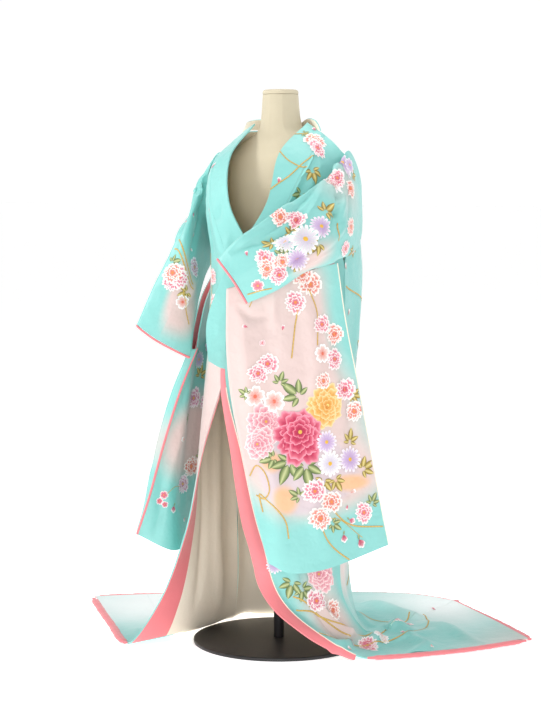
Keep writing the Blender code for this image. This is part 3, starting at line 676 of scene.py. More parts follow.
class Stencil:
    """Gathers dyed shapes and lays them on one cloth."""

    def __init__(self, cloth: Cloth) -> None:
        """Args:
            cloth: the sheet that is dyed.
        """
        self.cloth = cloth
        points = cloth.points
        self.along_rows = np.linalg.norm(np.diff(points, axis=1, prepend=points[:, :1]),
                                         axis=2).cumsum(axis=1)
        self.down_columns = np.linalg.norm(np.diff(points, axis=0, prepend=points[:1]),
                                           axis=2).cumsum(axis=0)
        self.points: list[Array] = []
        self.colours: list[Array] = []
        self.flat: list[Array] = []
        self.faces: list[tuple[int, ...]] = []
        self.count = 0

    def walk(self, spot: Place, flat: Array) -> tuple[Array, Array]:
        """Finds places on the cloth from a spot and metres on the flat.

        Args:
            spot: where to start.
            flat: grid [row][column] of metres (right, up).

        Returns:
            The places across and down.
        """
        cloth, step = self.cloth, 0.02
        ends = cloth.read(np.array([spot[0] - step, spot[0] + step, spot[0], spot[0]]),
                          np.array([spot[1], spot[1], spot[1] - step, spot[1] + step]))[0]
        lean = float(unit(ends[1] - ends[0]) @ unit(ends[3] - ends[2]))
        fall = -flat[..., 1].ravel() / math.sqrt(max(1 - lean ** 2, .2))
        right = flat[..., 0].ravel() - fall * lean
        column = np.array([np.interp(spot[0], cloth.across, line) for line in self.down_columns])
        down = np.interp(np.interp(spot[1], cloth.down, column) + fall, column, cloth.down)
        row = np.clip(np.searchsorted(cloth.down, down) - 1, 0, len(cloth.down) - 2)
        share = ((down - cloth.down[row]) / (cloth.down[row + 1] - cloth.down[row]))[:, None]
        lines = self.along_rows[row] * (1 - share) + self.along_rows[row + 1] * share
        start = np.clip(np.searchsorted(cloth.across, spot[0]) - 1, 0, len(cloth.across) - 2)
        part = (spot[0] - cloth.across[start]) / (cloth.across[start + 1] - cloth.across[start])
        aim = lines[:, start] * (1 - part) + lines[:, start + 1] * part + right
        found = np.clip((lines < aim[:, None]).sum(axis=1) - 1, 0, lines.shape[1] - 2)
        each = np.arange(len(found))
        width = np.maximum(lines[each, found + 1] - lines[each, found], 1e-6)
        column_step = cloth.across[found + 1] - cloth.across[found]
        across = cloth.across[found] + (aim - lines[each, found]) / width * column_step
        return across.reshape(flat.shape[:2]), down.reshape(flat.shape[:2])

    def lay(self, spot: Place, flat: Array, colours: Array, layer: int) -> None:
        """Lays a grid of flat points round a spot.

        Args:
            spot: the place of the flat's origin.
            flat: grid [row][column] of metres (right, up).
            colours: the colour of each grid point.
            layer: which layer of dye it is, from the bottom.
        """
        across, down = self.walk(spot, flat)
        points, normals = self.cloth.read(across, down)
        within = ((across > self.cloth.across[0]) & (across < self.cloth.across[-1])
                  & (down > self.cloth.down[0] + .004) & (down < self.cloth.down[-1] - .004))
        self.press(points + normals * (DYE_LIFT + layer * LAYER_LIFT), normals, within, colours,
                   flat)

    def press(self, points: Array, normals: Array, within: Array, colours: Array,
              flat: Array) -> None:
        """Keeps the faces of a grid that lie on the cloth, facing out."""
        rows, columns = within.shape
        middle = (rows // 2, columns // 2)
        beside = points[middle[0], middle[1] - 1] - points[middle]
        below = points[middle[0] - 1, middle[1]] - points[middle]
        turned = np.cross(beside, below) @ normals[middle] < 0
        for r in range(rows - 1):
            for c in range(columns - 1):
                if within[r:r + 2, c:c + 2].all():
                    a = self.count + r * columns + c
                    face = (a, a + columns, a + columns + 1, a + 1)
                    self.faces.append(face if turned else face[::-1])
        self.points.append(points.reshape(-1, 3))
        self.colours.append(colours.reshape(-1, 3))
        self.flat.append(np.concatenate([flat, np.zeros(flat.shape[:2] + (1,))],
                                        axis=2).reshape(-1, 3))
        self.count += rows * columns

    def petal(self, spot: Place, dye: Tint, turn: float, reach: float, spread: float, layer: int,
              notch: float = 0.0, ruffle: float = 0.0, pale: float = .72, seed: int = 0) -> None:
        """One petal as a fan from the flower's heart.

        Args:
            spot: the flower's place.
            dye: its colours.
            turn: its direction in degrees.
            reach: its length in metres.
            spread: half the angle that it fills, in degrees.
            layer: its layer of dye.
            notch: depth of the cut in its tip, as a share of its length.
            ruffle: depth of its scalloped rim, as a share of its length.
            pale: where its pale rim begins, as a share of its length.
            seed: shifts its ruffles.
        """
        sides = np.linspace(-1, 1, 11)
        rings = np.array([0, .3, .55, .72, .88, 1.0])
        rim = 1 - .32 * np.abs(sides) ** 2.4 - notch * np.exp(-(sides / .2) ** 2)
        rim = rim + ruffle * np.cos(sides * 3 * math.pi + seed) * (1 - .4 * np.abs(sides))
        angle = np.radians(turn) + sides * math.radians(spread)
        far = np.stack([np.cos(angle), np.sin(angle)], axis=1) * (rim * reach)[:, None]
        flat = far[None] * rings[:, None, None]
        root_colour, body, edge = (linear(c) for c in (dye.root, dye.body, dye.rim))
        stops = np.array([0, .3, pale, pale + .16, 1.0])
        ramp = np.stack([root_colour, body * .35 + root_colour * .65, body, edge, edge])
        colours = np.stack([np.interp(rings, stops, ramp[:, k]) for k in range(3)], axis=1)
        streaks = 1 - .16 * (np.arange(len(sides)) % 2) * (rings[:, None] < .8)
        self.lay(spot, flat, colours[:, None] * streaks[..., None], layer)

    def disc(self, spot: Place, colour: str, radius: float, layer: int,
             offset: tuple[float, float] = (0, 0)) -> None:
        """A round dot."""
        turns = np.linspace(0, 2 * math.pi, 11)
        rings = np.array([0.02, .6, 1.0]) * radius
        circle = np.stack([np.cos(turns), np.sin(turns)], axis=1)
        flat = circle[None] * rings[:, None, None] + np.array(offset)
        self.lay(spot, flat, np.broadcast_to(linear(colour), flat.shape[:2] + (3,)), layer)

    def blossom(self, spot: Spot, layer: int) -> None:
        """A single cherry blossom with stamens."""
        place, reach = (spot.across, spot.down), spot.size / 2
        for k in range(5):
            self.petal(place, spot.dye.value, spot.turn + 72 * k, reach, 36, layer + k % 2,
                       notch=.16, ruffle=.02)
        self.disc(place, spot.dye.value.centre, reach * .17, layer + 3)
        for k in range(10):
            angle = math.radians(spot.turn + 36 * k + 9)
            away = reach * (.42 if k % 2 else .33)
            self.disc(place, spot.dye.value.root, reach * .035, layer + 3,
                      (away * math.cos(angle), away * math.sin(angle)))

    def double(self, spot: Spot, layer: int) -> None:
        """A double blossom: two rings of ruffled petals round a deep heart."""
        place, reach = (spot.across, spot.down), spot.size / 2
        for ring, (share, count, spread) in enumerate(((1.0, 7, 28), (.70, 6, 30), (.42, 5, 36))):
            for k in range(count):
                turn = spot.turn + 360 / count * k + ring * 23
                uneven = 1 + .10 * math.sin(2.1 * k + spot.turn)
                self.petal(place, spot.dye.value, turn, reach * share * uneven, spread,
                           layer + 2 * ring + k % 2,
                           notch=.15, ruffle=.05, pale=.72, seed=k)
        self.disc(place, spot.dye.value.centre, reach * .13, layer + 7)

    def peony(self, spot: Spot, layer: int) -> None:
        """A full peony: five rings of broad ruffled petals, deeper towards the heart."""
        reach = spot.size / 2
        rings = ((1.0, 8, 29, 0.0), (.82, 7, 32, .07), (.63, 6, 36, .13), (.45, 5, 41, .18),
                 (.27, 4, 52, .20))
        for ring, (share, count, spread, shift) in enumerate(rings):
            lean = math.radians(spot.turn)
            move = shift * reach * np.array([[[math.cos(lean), math.sin(lean)]]])
            place = tuple(float(x[0, 0]) for x in self.walk((spot.across, spot.down), move))
            for k in range(count):
                turn = spot.turn + 360 / count * k + ring * 29
                uneven = 1 + .12 * math.sin(1.7 * k + 2.3 * ring)
                self.petal(place, spot.dye.value, turn, reach * share * uneven, spread,
                           layer + 2 * ring + k % 2,
                           ruffle=.06, pale=.84, seed=k + ring)
        self.disc(place, spot.dye.value.centre, reach * .075, layer + 11)

    def daisy(self, spot: Spot, layer: int) -> None:
        """A daisy-like chrysanthemum with narrow petals and a gold eye."""
        place, reach = (spot.across, spot.down), spot.size / 2
        count = 8 if spot.size < .05 else 16
        for k in range(count):
            uneven = 1 + .06 * math.sin(2.7 * k)
            self.petal(place, spot.dye.value, spot.turn + 360 / count * k, reach * uneven,
                       172 / count,
                       layer + k % 2, notch=.05)
        self.disc(place, spot.dye.value.centre, reach * .16, layer + 3)

    def leaf(self, spot: Place, dye: Tint, turn: float, length: float, layer: int,
             start: float = 0.15) -> None:
        """A pointed leaf with a pale midrib."""
        share = np.linspace(0, 1, 8)
        half = length * .21 * np.sin(np.pi * share ** .8) ** .8
        sides = np.array([-1, -.55, -.07, .07, .55, 1])
        along = (start + share * (1 - start))[:, None] * length * np.ones(6)
        beside = half[:, None] * sides
        cos, sin = math.cos(math.radians(turn)), math.sin(math.radians(turn))
        flat = np.stack([along * cos - beside * sin, along * sin + beside * cos], axis=2)
        ribs = [dye.root, dye.body, dye.rim, dye.rim, dye.body, dye.root]
        colours = np.stack([linear(c) for c in ribs])[None] * np.linspace(.85, 1.1, 8)[:, None,
                                                                                       None]
        self.lay(spot, flat, colours, layer)

    def leaves(self, spot: Spot, layer: int) -> None:
        """A spray of five leaves."""
        for k, (turn, share) in enumerate(((0, 1.0), (48, .8), (-50, .78), (95, .6), (-98, .55))):
            self.leaf((spot.across, spot.down), spot.dye.value, spot.turn + turn,
                      spot.size * share * .82, layer + k % 3)

    def bud(self, spot: Spot, layer: int) -> None:
        """A closed bud with its small cup of leaf."""
        place = (spot.across, spot.down)
        for turn, share in ((0, 1.0), (22, .85), (-22, .85)):
            self.petal(place, spot.dye.value, spot.turn + turn, spot.size * share, 20, layer + 1)
        self.leaf(place, Dye.LEAF.value, spot.turn + 160, spot.size * .5, layer, 0)

    def cord(self, cord: Cord, layer: int = 1) -> None:
        """A gold cord, raised and rounded across, with painted shade at its sides, a painted
        highlight along its middle and painted light and shade that stand in for its twist.
        """
        knots = np.arange(len(cord.path), dtype=float)
        places = smooth_rows(np.array(cord.path), knots,
                             np.linspace(0, knots[-1], 14 * len(cord.path)))
        middle = self.cloth.read(places[:, 0], places[:, 1])[0]
        length = np.linalg.norm(np.diff(middle, axis=0, prepend=middle[:1]), axis=1).cumsum()
        even = np.linspace(0, length[-1], max(6, int(length[-1] / .004)))
        places = np.stack([np.interp(even, length, places[:, k]) for k in range(2)], axis=1)
        middle, normals = self.cloth.read(places[:, 0], places[:, 1])
        side = unit(np.cross(normals, np.gradient(middle, axis=0)))
        sides = np.array([-1, -.5, 0, .5, 1])
        raised = DYE_LIFT + layer * LAYER_LIFT + .0007 * np.array([0, .75, 1, .75, 0])
        spread = side[:, None] * sides[:, None] * cord.width * .62
        points = middle[:, None] + spread + normals[:, None] * raised[:, None]
        gold_and_painted_shade = Dye.CORD.value
        # painted light and shade across the cord: pale gold along its middle as a painted
        # highlight, darker golds at its sides as painted shade
        ribs = np.stack([linear(c) for c in (gold_and_painted_shade.root, gold_and_painted_shade.body, gold_and_painted_shade.rim, gold_and_painted_shade.body, gold_and_painted_shade.root)])
        # painted light and shade along the cord, brighter and darker in turn, standing in for its
        # twist
        twist_shade = 1 + .12 * np.sin(even / .0035 * math.pi)
        shape = points.shape[:2]
        flat = np.stack([np.broadcast_to(sides * cord.width, shape),
                         np.broadcast_to(even[:, None], shape)], axis=2)
        self.press(points, np.broadcast_to(normals[:, None], points.shape), np.ones(shape, bool),
                   ribs[None] * twist_shade[:, None, None], flat)

    def spot(self, spot: Spot, layer: int) -> None:
        """Draws one motif."""
        draw: dict[Motif, Callable[[Spot, int], None]] = {
            Motif.BLOSSOM: self.blossom, Motif.DOUBLE: self.double, Motif.PEONY: self.peony,
            Motif.DAISY: self.daisy, Motif.LEAVES: self.leaves, Motif.BUD: self.bud}
        if spot.motif == Motif.PETAL:
            self.petal((spot.across, spot.down), spot.dye.value, spot.turn, spot.size, 24, layer,
                       notch=.14)
        else:
            draw[spot.motif](spot, layer)

    def draw(self, spots: Sequence[Spot], cords: Sequence[Cord] = ()) -> "Stencil":
        """Draws cords first, then motifs in order, each over the ones before it."""
        for cord in cords:
            self.cord(cord)
        for i, spot in enumerate(spots):
            self.spot(spot, 4 + (i % 4) * 12 if spot.motif != Motif.LEAVES else 2)
        return self

    def skin(self) -> Skin:
        """Everything drawn, as one skin."""
        return Skin(np.concatenate(self.points), self.faces, np.concatenate(self.colours),
                    np.concatenate(self.flat))


# ---- finishes --------------------------------------------------------------------------------
def add_node(tree: bpy.types.NodeTree, kind: str, values: dict[str, object] | None = None,
             links: dict[str, bpy.types.NodeSocket] | None = None,
             **settings: object) -> bpy.types.Node:
    """Adds one node.

    Args:
        tree: where it goes.
        kind: its type, such as ShaderNodeBump.
        values: numbers or colours for its inputs, by name.
        links: sockets that feed its inputs, by name.
        settings: its other settings.

    Returns:
        The new node.
    """
    node = tree.nodes.new(kind)
    for name, value in settings.items():
        setattr(node, name, value)
    for name, value in (values or {}).items():
        node.inputs[name].default_value = value
    for name, socket in (links or {}).items():
        tree.links.new(socket, node.inputs[name])
    return node


@dataclass(frozen=True)
class Fabric:
    """A woven cloth: its dye comes from the cloth's points, or is one colour."""
    name: str
    colour: str | None       # None takes the dye that is on the cloth's points
    roughness: float
    sheen: float
    thread: float            # metres from thread to thread, as drawn
    thread_depth: float      # metres
    slub: float = 0.02       # size of the cloth's soft unevenness, in metres
    slub_depth: float = 0.0008
    variation: float = 0.05

    def make(self) -> bpy.types.Material:
        """The material."""
        material = bpy.data.materials.new(self.name)
        material.use_nodes = True
        tree = material.node_tree
        tree.nodes.clear()
        weave = add_node(tree, "ShaderNodeAttribute", attribute_name="weave")
        place = add_node(tree, "ShaderNodeTexCoord")
        if self.colour is None:
            ground = add_node(tree, "ShaderNodeAttribute", attribute_name="dye").outputs["Color"]
        else:
            ground = add_node(tree, "ShaderNodeRGB")
            ground.outputs[0].default_value = (*linear(self.colour), 1)
            ground = ground.outputs[0]
        cloudy = add_node(tree, "ShaderNodeTexNoise", {"Scale": 9.0, "Detail": 3.0},
                          {"Vector": place.outputs["Object"]})
        shade = add_node(tree, "ShaderNodeMapRange",
                         {"To Min": 1 - self.variation, "To Max": 1 + self.variation},
                         {"Value": cloudy.outputs["Fac"]})
        colour = add_node(tree, "ShaderNodeVectorMath",
                          links={0: ground, 1: shade.outputs["Result"]},
                          operation="MULTIPLY")
        scale = math.tau / (20 * self.thread)
        warp = add_node(tree, "ShaderNodeTexWave",
                        {"Scale": scale, "Distortion": 0.6, "Detail": 1.0},
                        {"Vector": weave.outputs["Vector"]}, bands_direction="X")
        weft = add_node(tree, "ShaderNodeTexWave",
                        {"Scale": scale * 1.15, "Distortion": 0.9, "Detail": 1.0},
                        {"Vector": weave.outputs["Vector"]}, bands_direction="Y")
        threads = add_node(tree, "ShaderNodeMath",
                           links={0: warp.outputs["Fac"], 1: weft.outputs["Fac"]},
                           operation="MULTIPLY")
        soft = add_node(tree, "ShaderNodeTexNoise", {"Scale": 1 / self.slub, "Detail": 2.0},
                        {"Vector": place.outputs["Object"]})
        uneven = add_node(tree, "ShaderNodeBump", {"Strength": 1.0, "Distance": self.slub_depth},
                          {"Height": soft.outputs["Fac"]})
        bump = add_node(tree, "ShaderNodeBump", {"Strength": 1.0, "Distance": self.thread_depth},
                        {"Height": threads.outputs["Value"], "Normal": uneven.outputs["Normal"]})
        shader = add_node(tree, "ShaderNodeBsdfPrincipled",
                          {"Roughness": self.roughness, "Sheen Weight": self.sheen,
                           "Sheen Roughness": 0.35,
                           "IOR": 1.5},
                          {"Base Color": colour.outputs["Vector"],
                           "Normal": bump.outputs["Normal"]})
        add_node(tree, "ShaderNodeOutputMaterial", links={"Surface": shader.outputs["BSDF"]})
        return material


@dataclass(frozen=True)
class Coating:
    """A hard painted finish."""
    name: str
    colour: str
    roughness: float
    grain: float             # metres from bump to bump

    def make(self) -> bpy.types.Material:
        """The material."""
        material = bpy.data.materials.new(self.name)
        material.use_nodes = True
        tree = material.node_tree
        tree.nodes.clear()
        place = add_node(tree, "ShaderNodeTexCoord")
        grain = add_node(tree, "ShaderNodeTexNoise", {"Scale": 1 / self.grain, "Detail": 2.0},
                         {"Vector": place.outputs["Object"]})
        bump = add_node(tree, "ShaderNodeBump", {"Strength": 0.3, "Distance": 0.0002},
                        {"Height": grain.outputs["Fac"]})
        rough = add_node(tree, "ShaderNodeMapRange",
                         {"To Min": self.roughness - .06, "To Max": self.roughness + .08},
                         {"Value": grain.outputs["Fac"]})
        shader = add_node(tree, "ShaderNodeBsdfPrincipled",
                          {"Base Color": (*linear(self.colour), 1)},
                          {"Normal": bump.outputs["Normal"], "Roughness": rough.outputs["Result"]})
        add_node(tree, "ShaderNodeOutputMaterial", links={"Surface": shader.outputs["BSDF"]})
        return material


# Satin-woven silk: long floats give a smooth face with a soft, broad shine. Threads are about
# 0.1 mm apart, too fine to show, so they are drawn 1.1 mm apart.
SATIN = Fabric("turquoise satin silk", None, 0.40, 0.25, 0.0011, 0.00006, slub=0.035,
               slub_depth=0.004)
# Hand-dyed and part-embroidered flowers: silk floss is a little duller and stands off the satin.
YUZEN = Fabric("yuzen-dyed flowers and silk floss", None, 0.5, 0.2, 0.0009, 0.00016, slub=0.006,
               slub_depth=0.0003,
               variation=0.03)
# Plain habutae silk in coral: a fine even weave with a gentle sheen.
CORAL = Fabric("coral habutae silk", "#F2858B", 0.5, 0.3, 0.0012, 0.00005, slub=0.03,
               slub_depth=0.0012)
# Undyed habutae lining: matt, warm white, with soft slubs.
CREAM = Fabric("cream habutae lining", "#FAF0DD", 0.6, 0.2, 0.0013, 0.00008, slub=0.025,
               slub_depth=0.0012,
               variation=0.03)
# Unbleached linen: a coarse plain weave whose slubs show at arm's length.
LINEN = Fabric("unbleached linen", "#D6CBB0", 0.85, 0.1, 0.0016, 0.00035, slub=0.004,
               slub_depth=0.0006, variation=0.10)
# Powder-coated steel: an even black with a fine orange-peel grain.
POWDER = Coating("black powder-coated steel", "#1C1B1D", 0.42, 0.0012)


GROUND = "#8ACFC9"       # turquoise of the satin
PINK = "#E0C8C3"         # pale pink haze
FOAM = "#FBFFFE"         # nearly white turquoise of the train
CORAL_DYE = "#F2858B"
CREAM_DYE = "#FAF0DD"


def finish_piece(piece: bpy.types.Object, nodes: Sequence[str] = ()) -> bpy.types.Object:
    """Rides a piece on the body and hides the model's nodes that it stands for."""
    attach(piece, "root")
    if nodes:
        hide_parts(*nodes)
    return piece


def shell(cloth: Cloth, dye: Array, thickness: float = WALL, depth: float = 0.0,
          ring: bool = False) -> Skin:
    """A wall whose outer face lies depth inside a cloth."""
    outer = cloth.points - cloth.normals * depth
    inner = outer - cloth.normals * thickness
    outer[..., 2] = np.maximum(outer[..., 2], FLOOR + thickness * .6)
    inner[..., 2] = np.maximum(inner[..., 2], FLOOR)
    return wall_skin(outer, inner, dye, ring)


@dataclass
class Materials:
    """The finishes, made once."""
    satin: bpy.types.Material
    flowers: bpy.types.Material
    coral: bpy.types.Material
    cream: bpy.types.Material
    linen: bpy.types.Material
    powder: bpy.types.Material


@dataclass(frozen=True)
class Cut:
    """One panel of the body: its seams, levels and the flat size that it was cut to."""
    name: str
    first: str
    last: str
    top: float
    flat: tuple[float, float]
    bottom: float = HEM
    area: float | None = None


class Body:
    """The body panels, collars, linings, facings and padded hem, on one shared surface."""

    CUTS = (
        Cut("back_right", "back_side_right", "centre_back", 0, (0.31, 1.90)),
        Cut("back_left", "centre_back", "back_side_left", 0, (0.31, 1.90)),
        Cut("front_right", "okumi_right", "front_side_right", 0, (0.26, 1.80)),
        Cut("front_left", "front_side_left", "okumi_left", 0, (0.26, 1.80)),
        Cut("okumi_right", "seam_right", "okumi_right", 0, (0.14, 1.60)),
        Cut("okumi_left", "okumi_left", "seam_left", 0, (0.14, 1.60)),
        Cut("collar_right", "collar_right", "seam_right", 0, (0.085, 0.75), COLLAR_END),
        Cut("collar_left", "seam_left", "collar_left", 0, (0.085, 0.75), COLLAR_END),
    )
    HAZES = (
        # back, from the shoulders to the hem
        Haze(7.3, 5.6, 1.7, 1.5, PINK, .7), Haze(6.2, 8.2, 1.3, 1.0, PINK, .7),
        # left front, above the floor
        Haze(11.4, 8.3, 1.5, 1.1, PINK, .7), Haze(8.6, 7.4, .9, .9, PINK, .8),
        # right front below the collar's end
        Haze(1.3, 5.3, 1.3, 1.6, PINK, .6), Haze(3.4, 6.2, 1.2, 1.6, PINK, .7),
        # train
        Haze(3.0, 10.6, 4.6, 1.5, FOAM, .8), Haze(9.5, 10.9, 3.4, 1.1, FOAM, .8, .9),
        Haze(13.4, 11.0, 1.8, 1.2, PINK, .8, .6),
    )
    CREASES = (
        # fronts near the collars
        Crease(((2.35, .5), (2.3, 1.4), (2.35, 2.4)), .009, -.005),
        Crease(((3.3, .6), (3.0, 1.7), (2.5, 2.9)), .012, .007),
        Crease(((2.9, .9), (2.7, 2.0), (2.3, 3.2)), .012, -.006),
        Crease(((.35, 2.0), (.7, 2.25), (1.1, 2.35)), .007, -.008),
        Crease(((.5, 2.5), (1.1, 3.0), (1.3, 3.9)), .010, .006),
        Crease(((3.5, 1.4), (3.2, 2.4), (3.3, 3.6)), .016, .008),
        Crease(((11.75, .8), (11.6, 1.8), (11.65, 2.9)), .009, -.005),
        Crease(((11.3, .9), (11.2, 1.9), (11.5, 3.2)), .010, .006),
        Crease(((11.6, 3.2), (11.9, 4.0), (12.2, 4.8)), .011, .006),
        Crease(((10.7, 1.3), (10.8, 2.3), (11.2, 3.6)), .014, -.006),
        # back, below the neck and across the shoulder blades
        Crease(((6.4, .5), (6.6, 1.5), (6.5, 3.0)), .016, .007),
        Crease(((7.6, .5), (7.4, 1.7), (7.6, 3.2)), .016, .007),
        Crease(((5.4, 1.2), (5.7, 2.2), (6.1, 3.4)), .014, -.006),
        Crease(((8.6, 1.2), (8.3, 2.2), (7.9, 3.6)), .014, -.006),
        Crease(((7.0, 3.0), (6.8, 4.6), (6.9, 6.4)), .020, -.0128),
        Crease(((8.3, 3.4), (8.5, 5.2), (8.3, 7.0)), .022, .0144),
        Crease(((5.7, 3.6), (5.6, 5.4), (5.8, 7.2)), .020, .0128),
        # left front, knee to floor
        Crease(((12.5, 5.6), (12.3, 6.8), (12.0, 8.2)), .016, .0112),
        Crease(((11.7, 5.8), (11.5, 7.0), (11.3, 8.4)), .018, -.0112),
        Crease(((10.8, 5.4), (10.7, 7.0), (10.5, 8.6)), .020, .0128),
        Crease(((13.0, 7.4), (12.6, 8.2), (11.9, 8.9)), .014, -.0096),
        Crease(((2.4, 5.6), (2.5, 7.0), (2.3, 8.4)), .018, .0096),
        Crease(((3.3, 5.4), (3.2, 7.2), (3.4, 8.6)), .018, -.0096),
        # train: shallow wandering ridges where the cloth meets the floor
        Crease(((12.9, 8.7), (12.2, 8.9), (11.1, 8.7)), .014, .0173),
        Crease(((12.2, 9.3), (11.0, 9.3), (10.0, 9.0)), .018, .0194),
        Crease(((13.2, 9.5), (12.4, 9.9), (11.2, 9.8)), .020, .0151),
        Crease(((11.0, 9.9), (9.9, 9.8), (9.0, 9.6)), .020, .0216),
        Crease(((12.8, 10.4), (11.6, 10.4), (10.4, 10.2)), .024, .0151),
        Crease(((9.6, 10.3), (8.4, 10.2), (7.4, 10.4)), .026, .0194),
        Crease(((8.2, 9.3), (7.2, 9.5), (6.4, 9.4)), .022, .0194),
        Crease(((6.6, 10.0), (5.6, 10.1), (4.6, 9.9)), .024, .0173),
        Crease(((4.6, 9.3), (3.6, 9.5), (2.6, 9.3)), .018, .0173),
        Crease(((3.6, 10.2), (2.6, 10.3), (1.7, 10.0)), .022, .0151),
        Crease(((5.0, 10.6), (4.0, 10.7), (3.0, 10.6)), .022, .013),
        Crease(((2.2, 9.0), (1.8, 9.4), (1.3, 9.7)), .014, .013),
    )
    SPOTS = (
        # shoulder and left front
        Spot(Motif.LEAVES, Dye.LEAF, 13.75, .30, .030, 160),
        Spot(Motif.DOUBLE, Dye.SALMON, 13.15, .34, .062, 20),
        Spot(Motif.DOUBLE, Dye.ROSE, 12.3, .55, .056, 70),
        Spot(Motif.PETAL, Dye.ROSE, 13.4, .06, .016, 10),
        Spot(Motif.PETAL, Dye.ROSE, 13.75, 1.62, .018, 100),
        Spot(Motif.PETAL, Dye.ROSE, 13.1, 2.4, .013, 60),
        Spot(Motif.LEAVES, Dye.OLIVE, 11.6, 1.2, .05, 240),
        Spot(Motif.LEAVES, Dye.LEAF, 11.5, 1.8, .05, 300),
        # right front
        Spot(Motif.PETAL, Dye.ROSE, 1.6, 1.2, .013, 70),
        Spot(Motif.PETAL, Dye.BLUSH, 2.2, 2.2, .015, 120),
        Spot(Motif.DOUBLE, Dye.BLUSH, 2.4, 3.3, .052, 0),
        Spot(Motif.DOUBLE, Dye.ROSE, 2.2, 3.75, .058, 40),
        Spot(Motif.DOUBLE, Dye.SALMON, 2.5, 4.2, .050, 10),
        Spot(Motif.BLOSSOM, Dye.SNOW, 2.0, 4.55, .040, 15),
        Spot(Motif.PETAL, Dye.ROSE, 1.6, 4.9, .016, 200),
        # left back beside the sleeve
        Spot(Motif.DOUBLE, Dye.SALMON, 9.0, 1.65, .058, 0),
        Spot(Motif.DOUBLE, Dye.SALMON, 8.8, 2.2, .050, 50),
        Spot(Motif.LEAVES, Dye.OLIVE, 8.7, 2.55, .04, 280),
        Spot(Motif.PETAL, Dye.SNOW, 8.9, 3.05, .022, 60),
        Spot(Motif.PETAL, Dye.SNOW, 8.8, 4.0, .020, 110),
        Spot(Motif.PETAL, Dye.ROSE, 8.6, 4.9, .018, 20),
        # left front above the floor
        Spot(Motif.LEAVES, Dye.LEAF, 12.35, 7.60, .060, 290),
        Spot(Motif.LEAVES, Dye.LEAF, 12.1, 7.7, .055, 230),
        Spot(Motif.DAISY, Dye.LILAC, 12.75, 7.35, .050, 0),
        Spot(Motif.DAISY, Dye.LILAC, 12.3, 7.3, .044, 12),
        Spot(Motif.PEONY, Dye.BLUSH, 10.9, 7.55, .095, 30),
        Spot(Motif.DOUBLE, Dye.ROSE, 11.6, 7.90, .070, 0),
        Spot(Motif.DOUBLE, Dye.SALMON, 10.95, 8.15, .064, 30),
        Spot(Motif.DOUBLE, Dye.ROSE, 11.3, 7.2, .058, 50),
        Spot(Motif.PETAL, Dye.SNOW, 12.4, 8.60, .020, 40),
        Spot(Motif.PETAL, Dye.ROSE, 12.0, 8.85, .020, 300),
        Spot(Motif.PETAL, Dye.SNOW, 12.7, 8.95, .018, 90),
        Spot(Motif.DOUBLE, Dye.ROSE, 11.8, 9.20, .066, 20),
        Spot(Motif.DOUBLE, Dye.SNOW, 11.35, 9.38, .064, 60),
        Spot(Motif.PETAL, Dye.ROSE, 11.0, 9.8, .020, 160),
        Spot(Motif.PETAL, Dye.SNOW, 12.6, 9.9, .020, 10),
        Spot(Motif.DOUBLE, Dye.BLUSH, 10.2, 9.9, .070, 10),
        Spot(Motif.BLOSSOM, Dye.SNOW, 9.8, 10.25, .052, 30),
        Spot(Motif.PETAL, Dye.ROSE, 9.3, 10.6, .022, 220),
        # back
        Spot(Motif.LEAVES, Dye.LEAF, 7.1, 5.75, .11, 230),
        Spot(Motif.LEAVES, Dye.LEAF, 6.3, 4.7, .10, 110),
        Spot(Motif.LEAVES, Dye.OLIVE, 8.15, 4.9, .09, 40),
        Spot(Motif.DAISY, Dye.PEARL, 8.0, 4.55, .085, 0),
        Spot(Motif.DAISY, Dye.LILAC, 7.75, 5.35, .075, 8),
        Spot(Motif.PEONY, Dye.AMBER, 6.5, 5.45, .115, 100),
        Spot(Motif.PEONY, Dye.CRIMSON, 7.15, 4.95, .14, 40),
        Spot(Motif.PEONY, Dye.BLUSH, 6.35, 4.45, .115, 200),
        Spot(Motif.DOUBLE, Dye.SALMON, 7.2, 4.05, .075, 0),
        Spot(Motif.DOUBLE, Dye.ROSE, 6.75, 3.75, .068, 30),
        Spot(Motif.DOUBLE, Dye.ROSE, 7.9, 3.95, .068, 70),
        Spot(Motif.DOUBLE, Dye.SALMON, 5.9, 5.9, .068, 20),
        Spot(Motif.BLOSSOM, Dye.SNOW, 6.4, 6.2, .06, 10),
        Spot(Motif.DOUBLE, Dye.ROSE, 7.1, 6.35, .070, 50),
        Spot(Motif.BLOSSOM, Dye.SNOW, 7.9, 6.0, .058, 40),
        Spot(Motif.PETAL, Dye.ROSE, 6.2, 7.0, .022, 250),
        Spot(Motif.PETAL, Dye.SNOW, 8.0, 6.8, .022, 300),
        Spot(Motif.PETAL, Dye.SNOW, 6.6, 2.6, .020, 60),
        Spot(Motif.PETAL, Dye.ROSE, 7.5, 2.1, .018, 120),
        Spot(Motif.DOUBLE, Dye.ROSE, 5.7, 1.2, .055, 0),
        Spot(Motif.DOUBLE, Dye.SALMON, 5.6, 1.7, .050, 30),
        Spot(Motif.DOUBLE, Dye.SALMON, 5.8, 8.3, .075, 30),
        Spot(Motif.DOUBLE, Dye.ROSE, 6.4, 8.05, .070, 0),
        Spot(Motif.LEAVES, Dye.LEAF, 6.9, 8.5, .08, 320),
        Spot(Motif.DOUBLE, Dye.SNOW, 6.9, 8.35, .068, 60),
        Spot(Motif.DAISY, Dye.LILAC, 7.5, 8.1, .070, 0),
        Spot(Motif.PETAL, Dye.ROSE, 7.6, 9.2, .024, 30),
        Spot(Motif.DOUBLE, Dye.ROSE, 4.2, 9.7, .070, 15),
        Spot(Motif.BLOSSOM, Dye.SNOW, 3.6, 9.9, .056, 40),
        Spot(Motif.PETAL, Dye.ROSE, 3.0, 10.3, .022, 80),
        Spot(Motif.DOUBLE, Dye.SALMON, 3.5, 6.7, .068, 30),
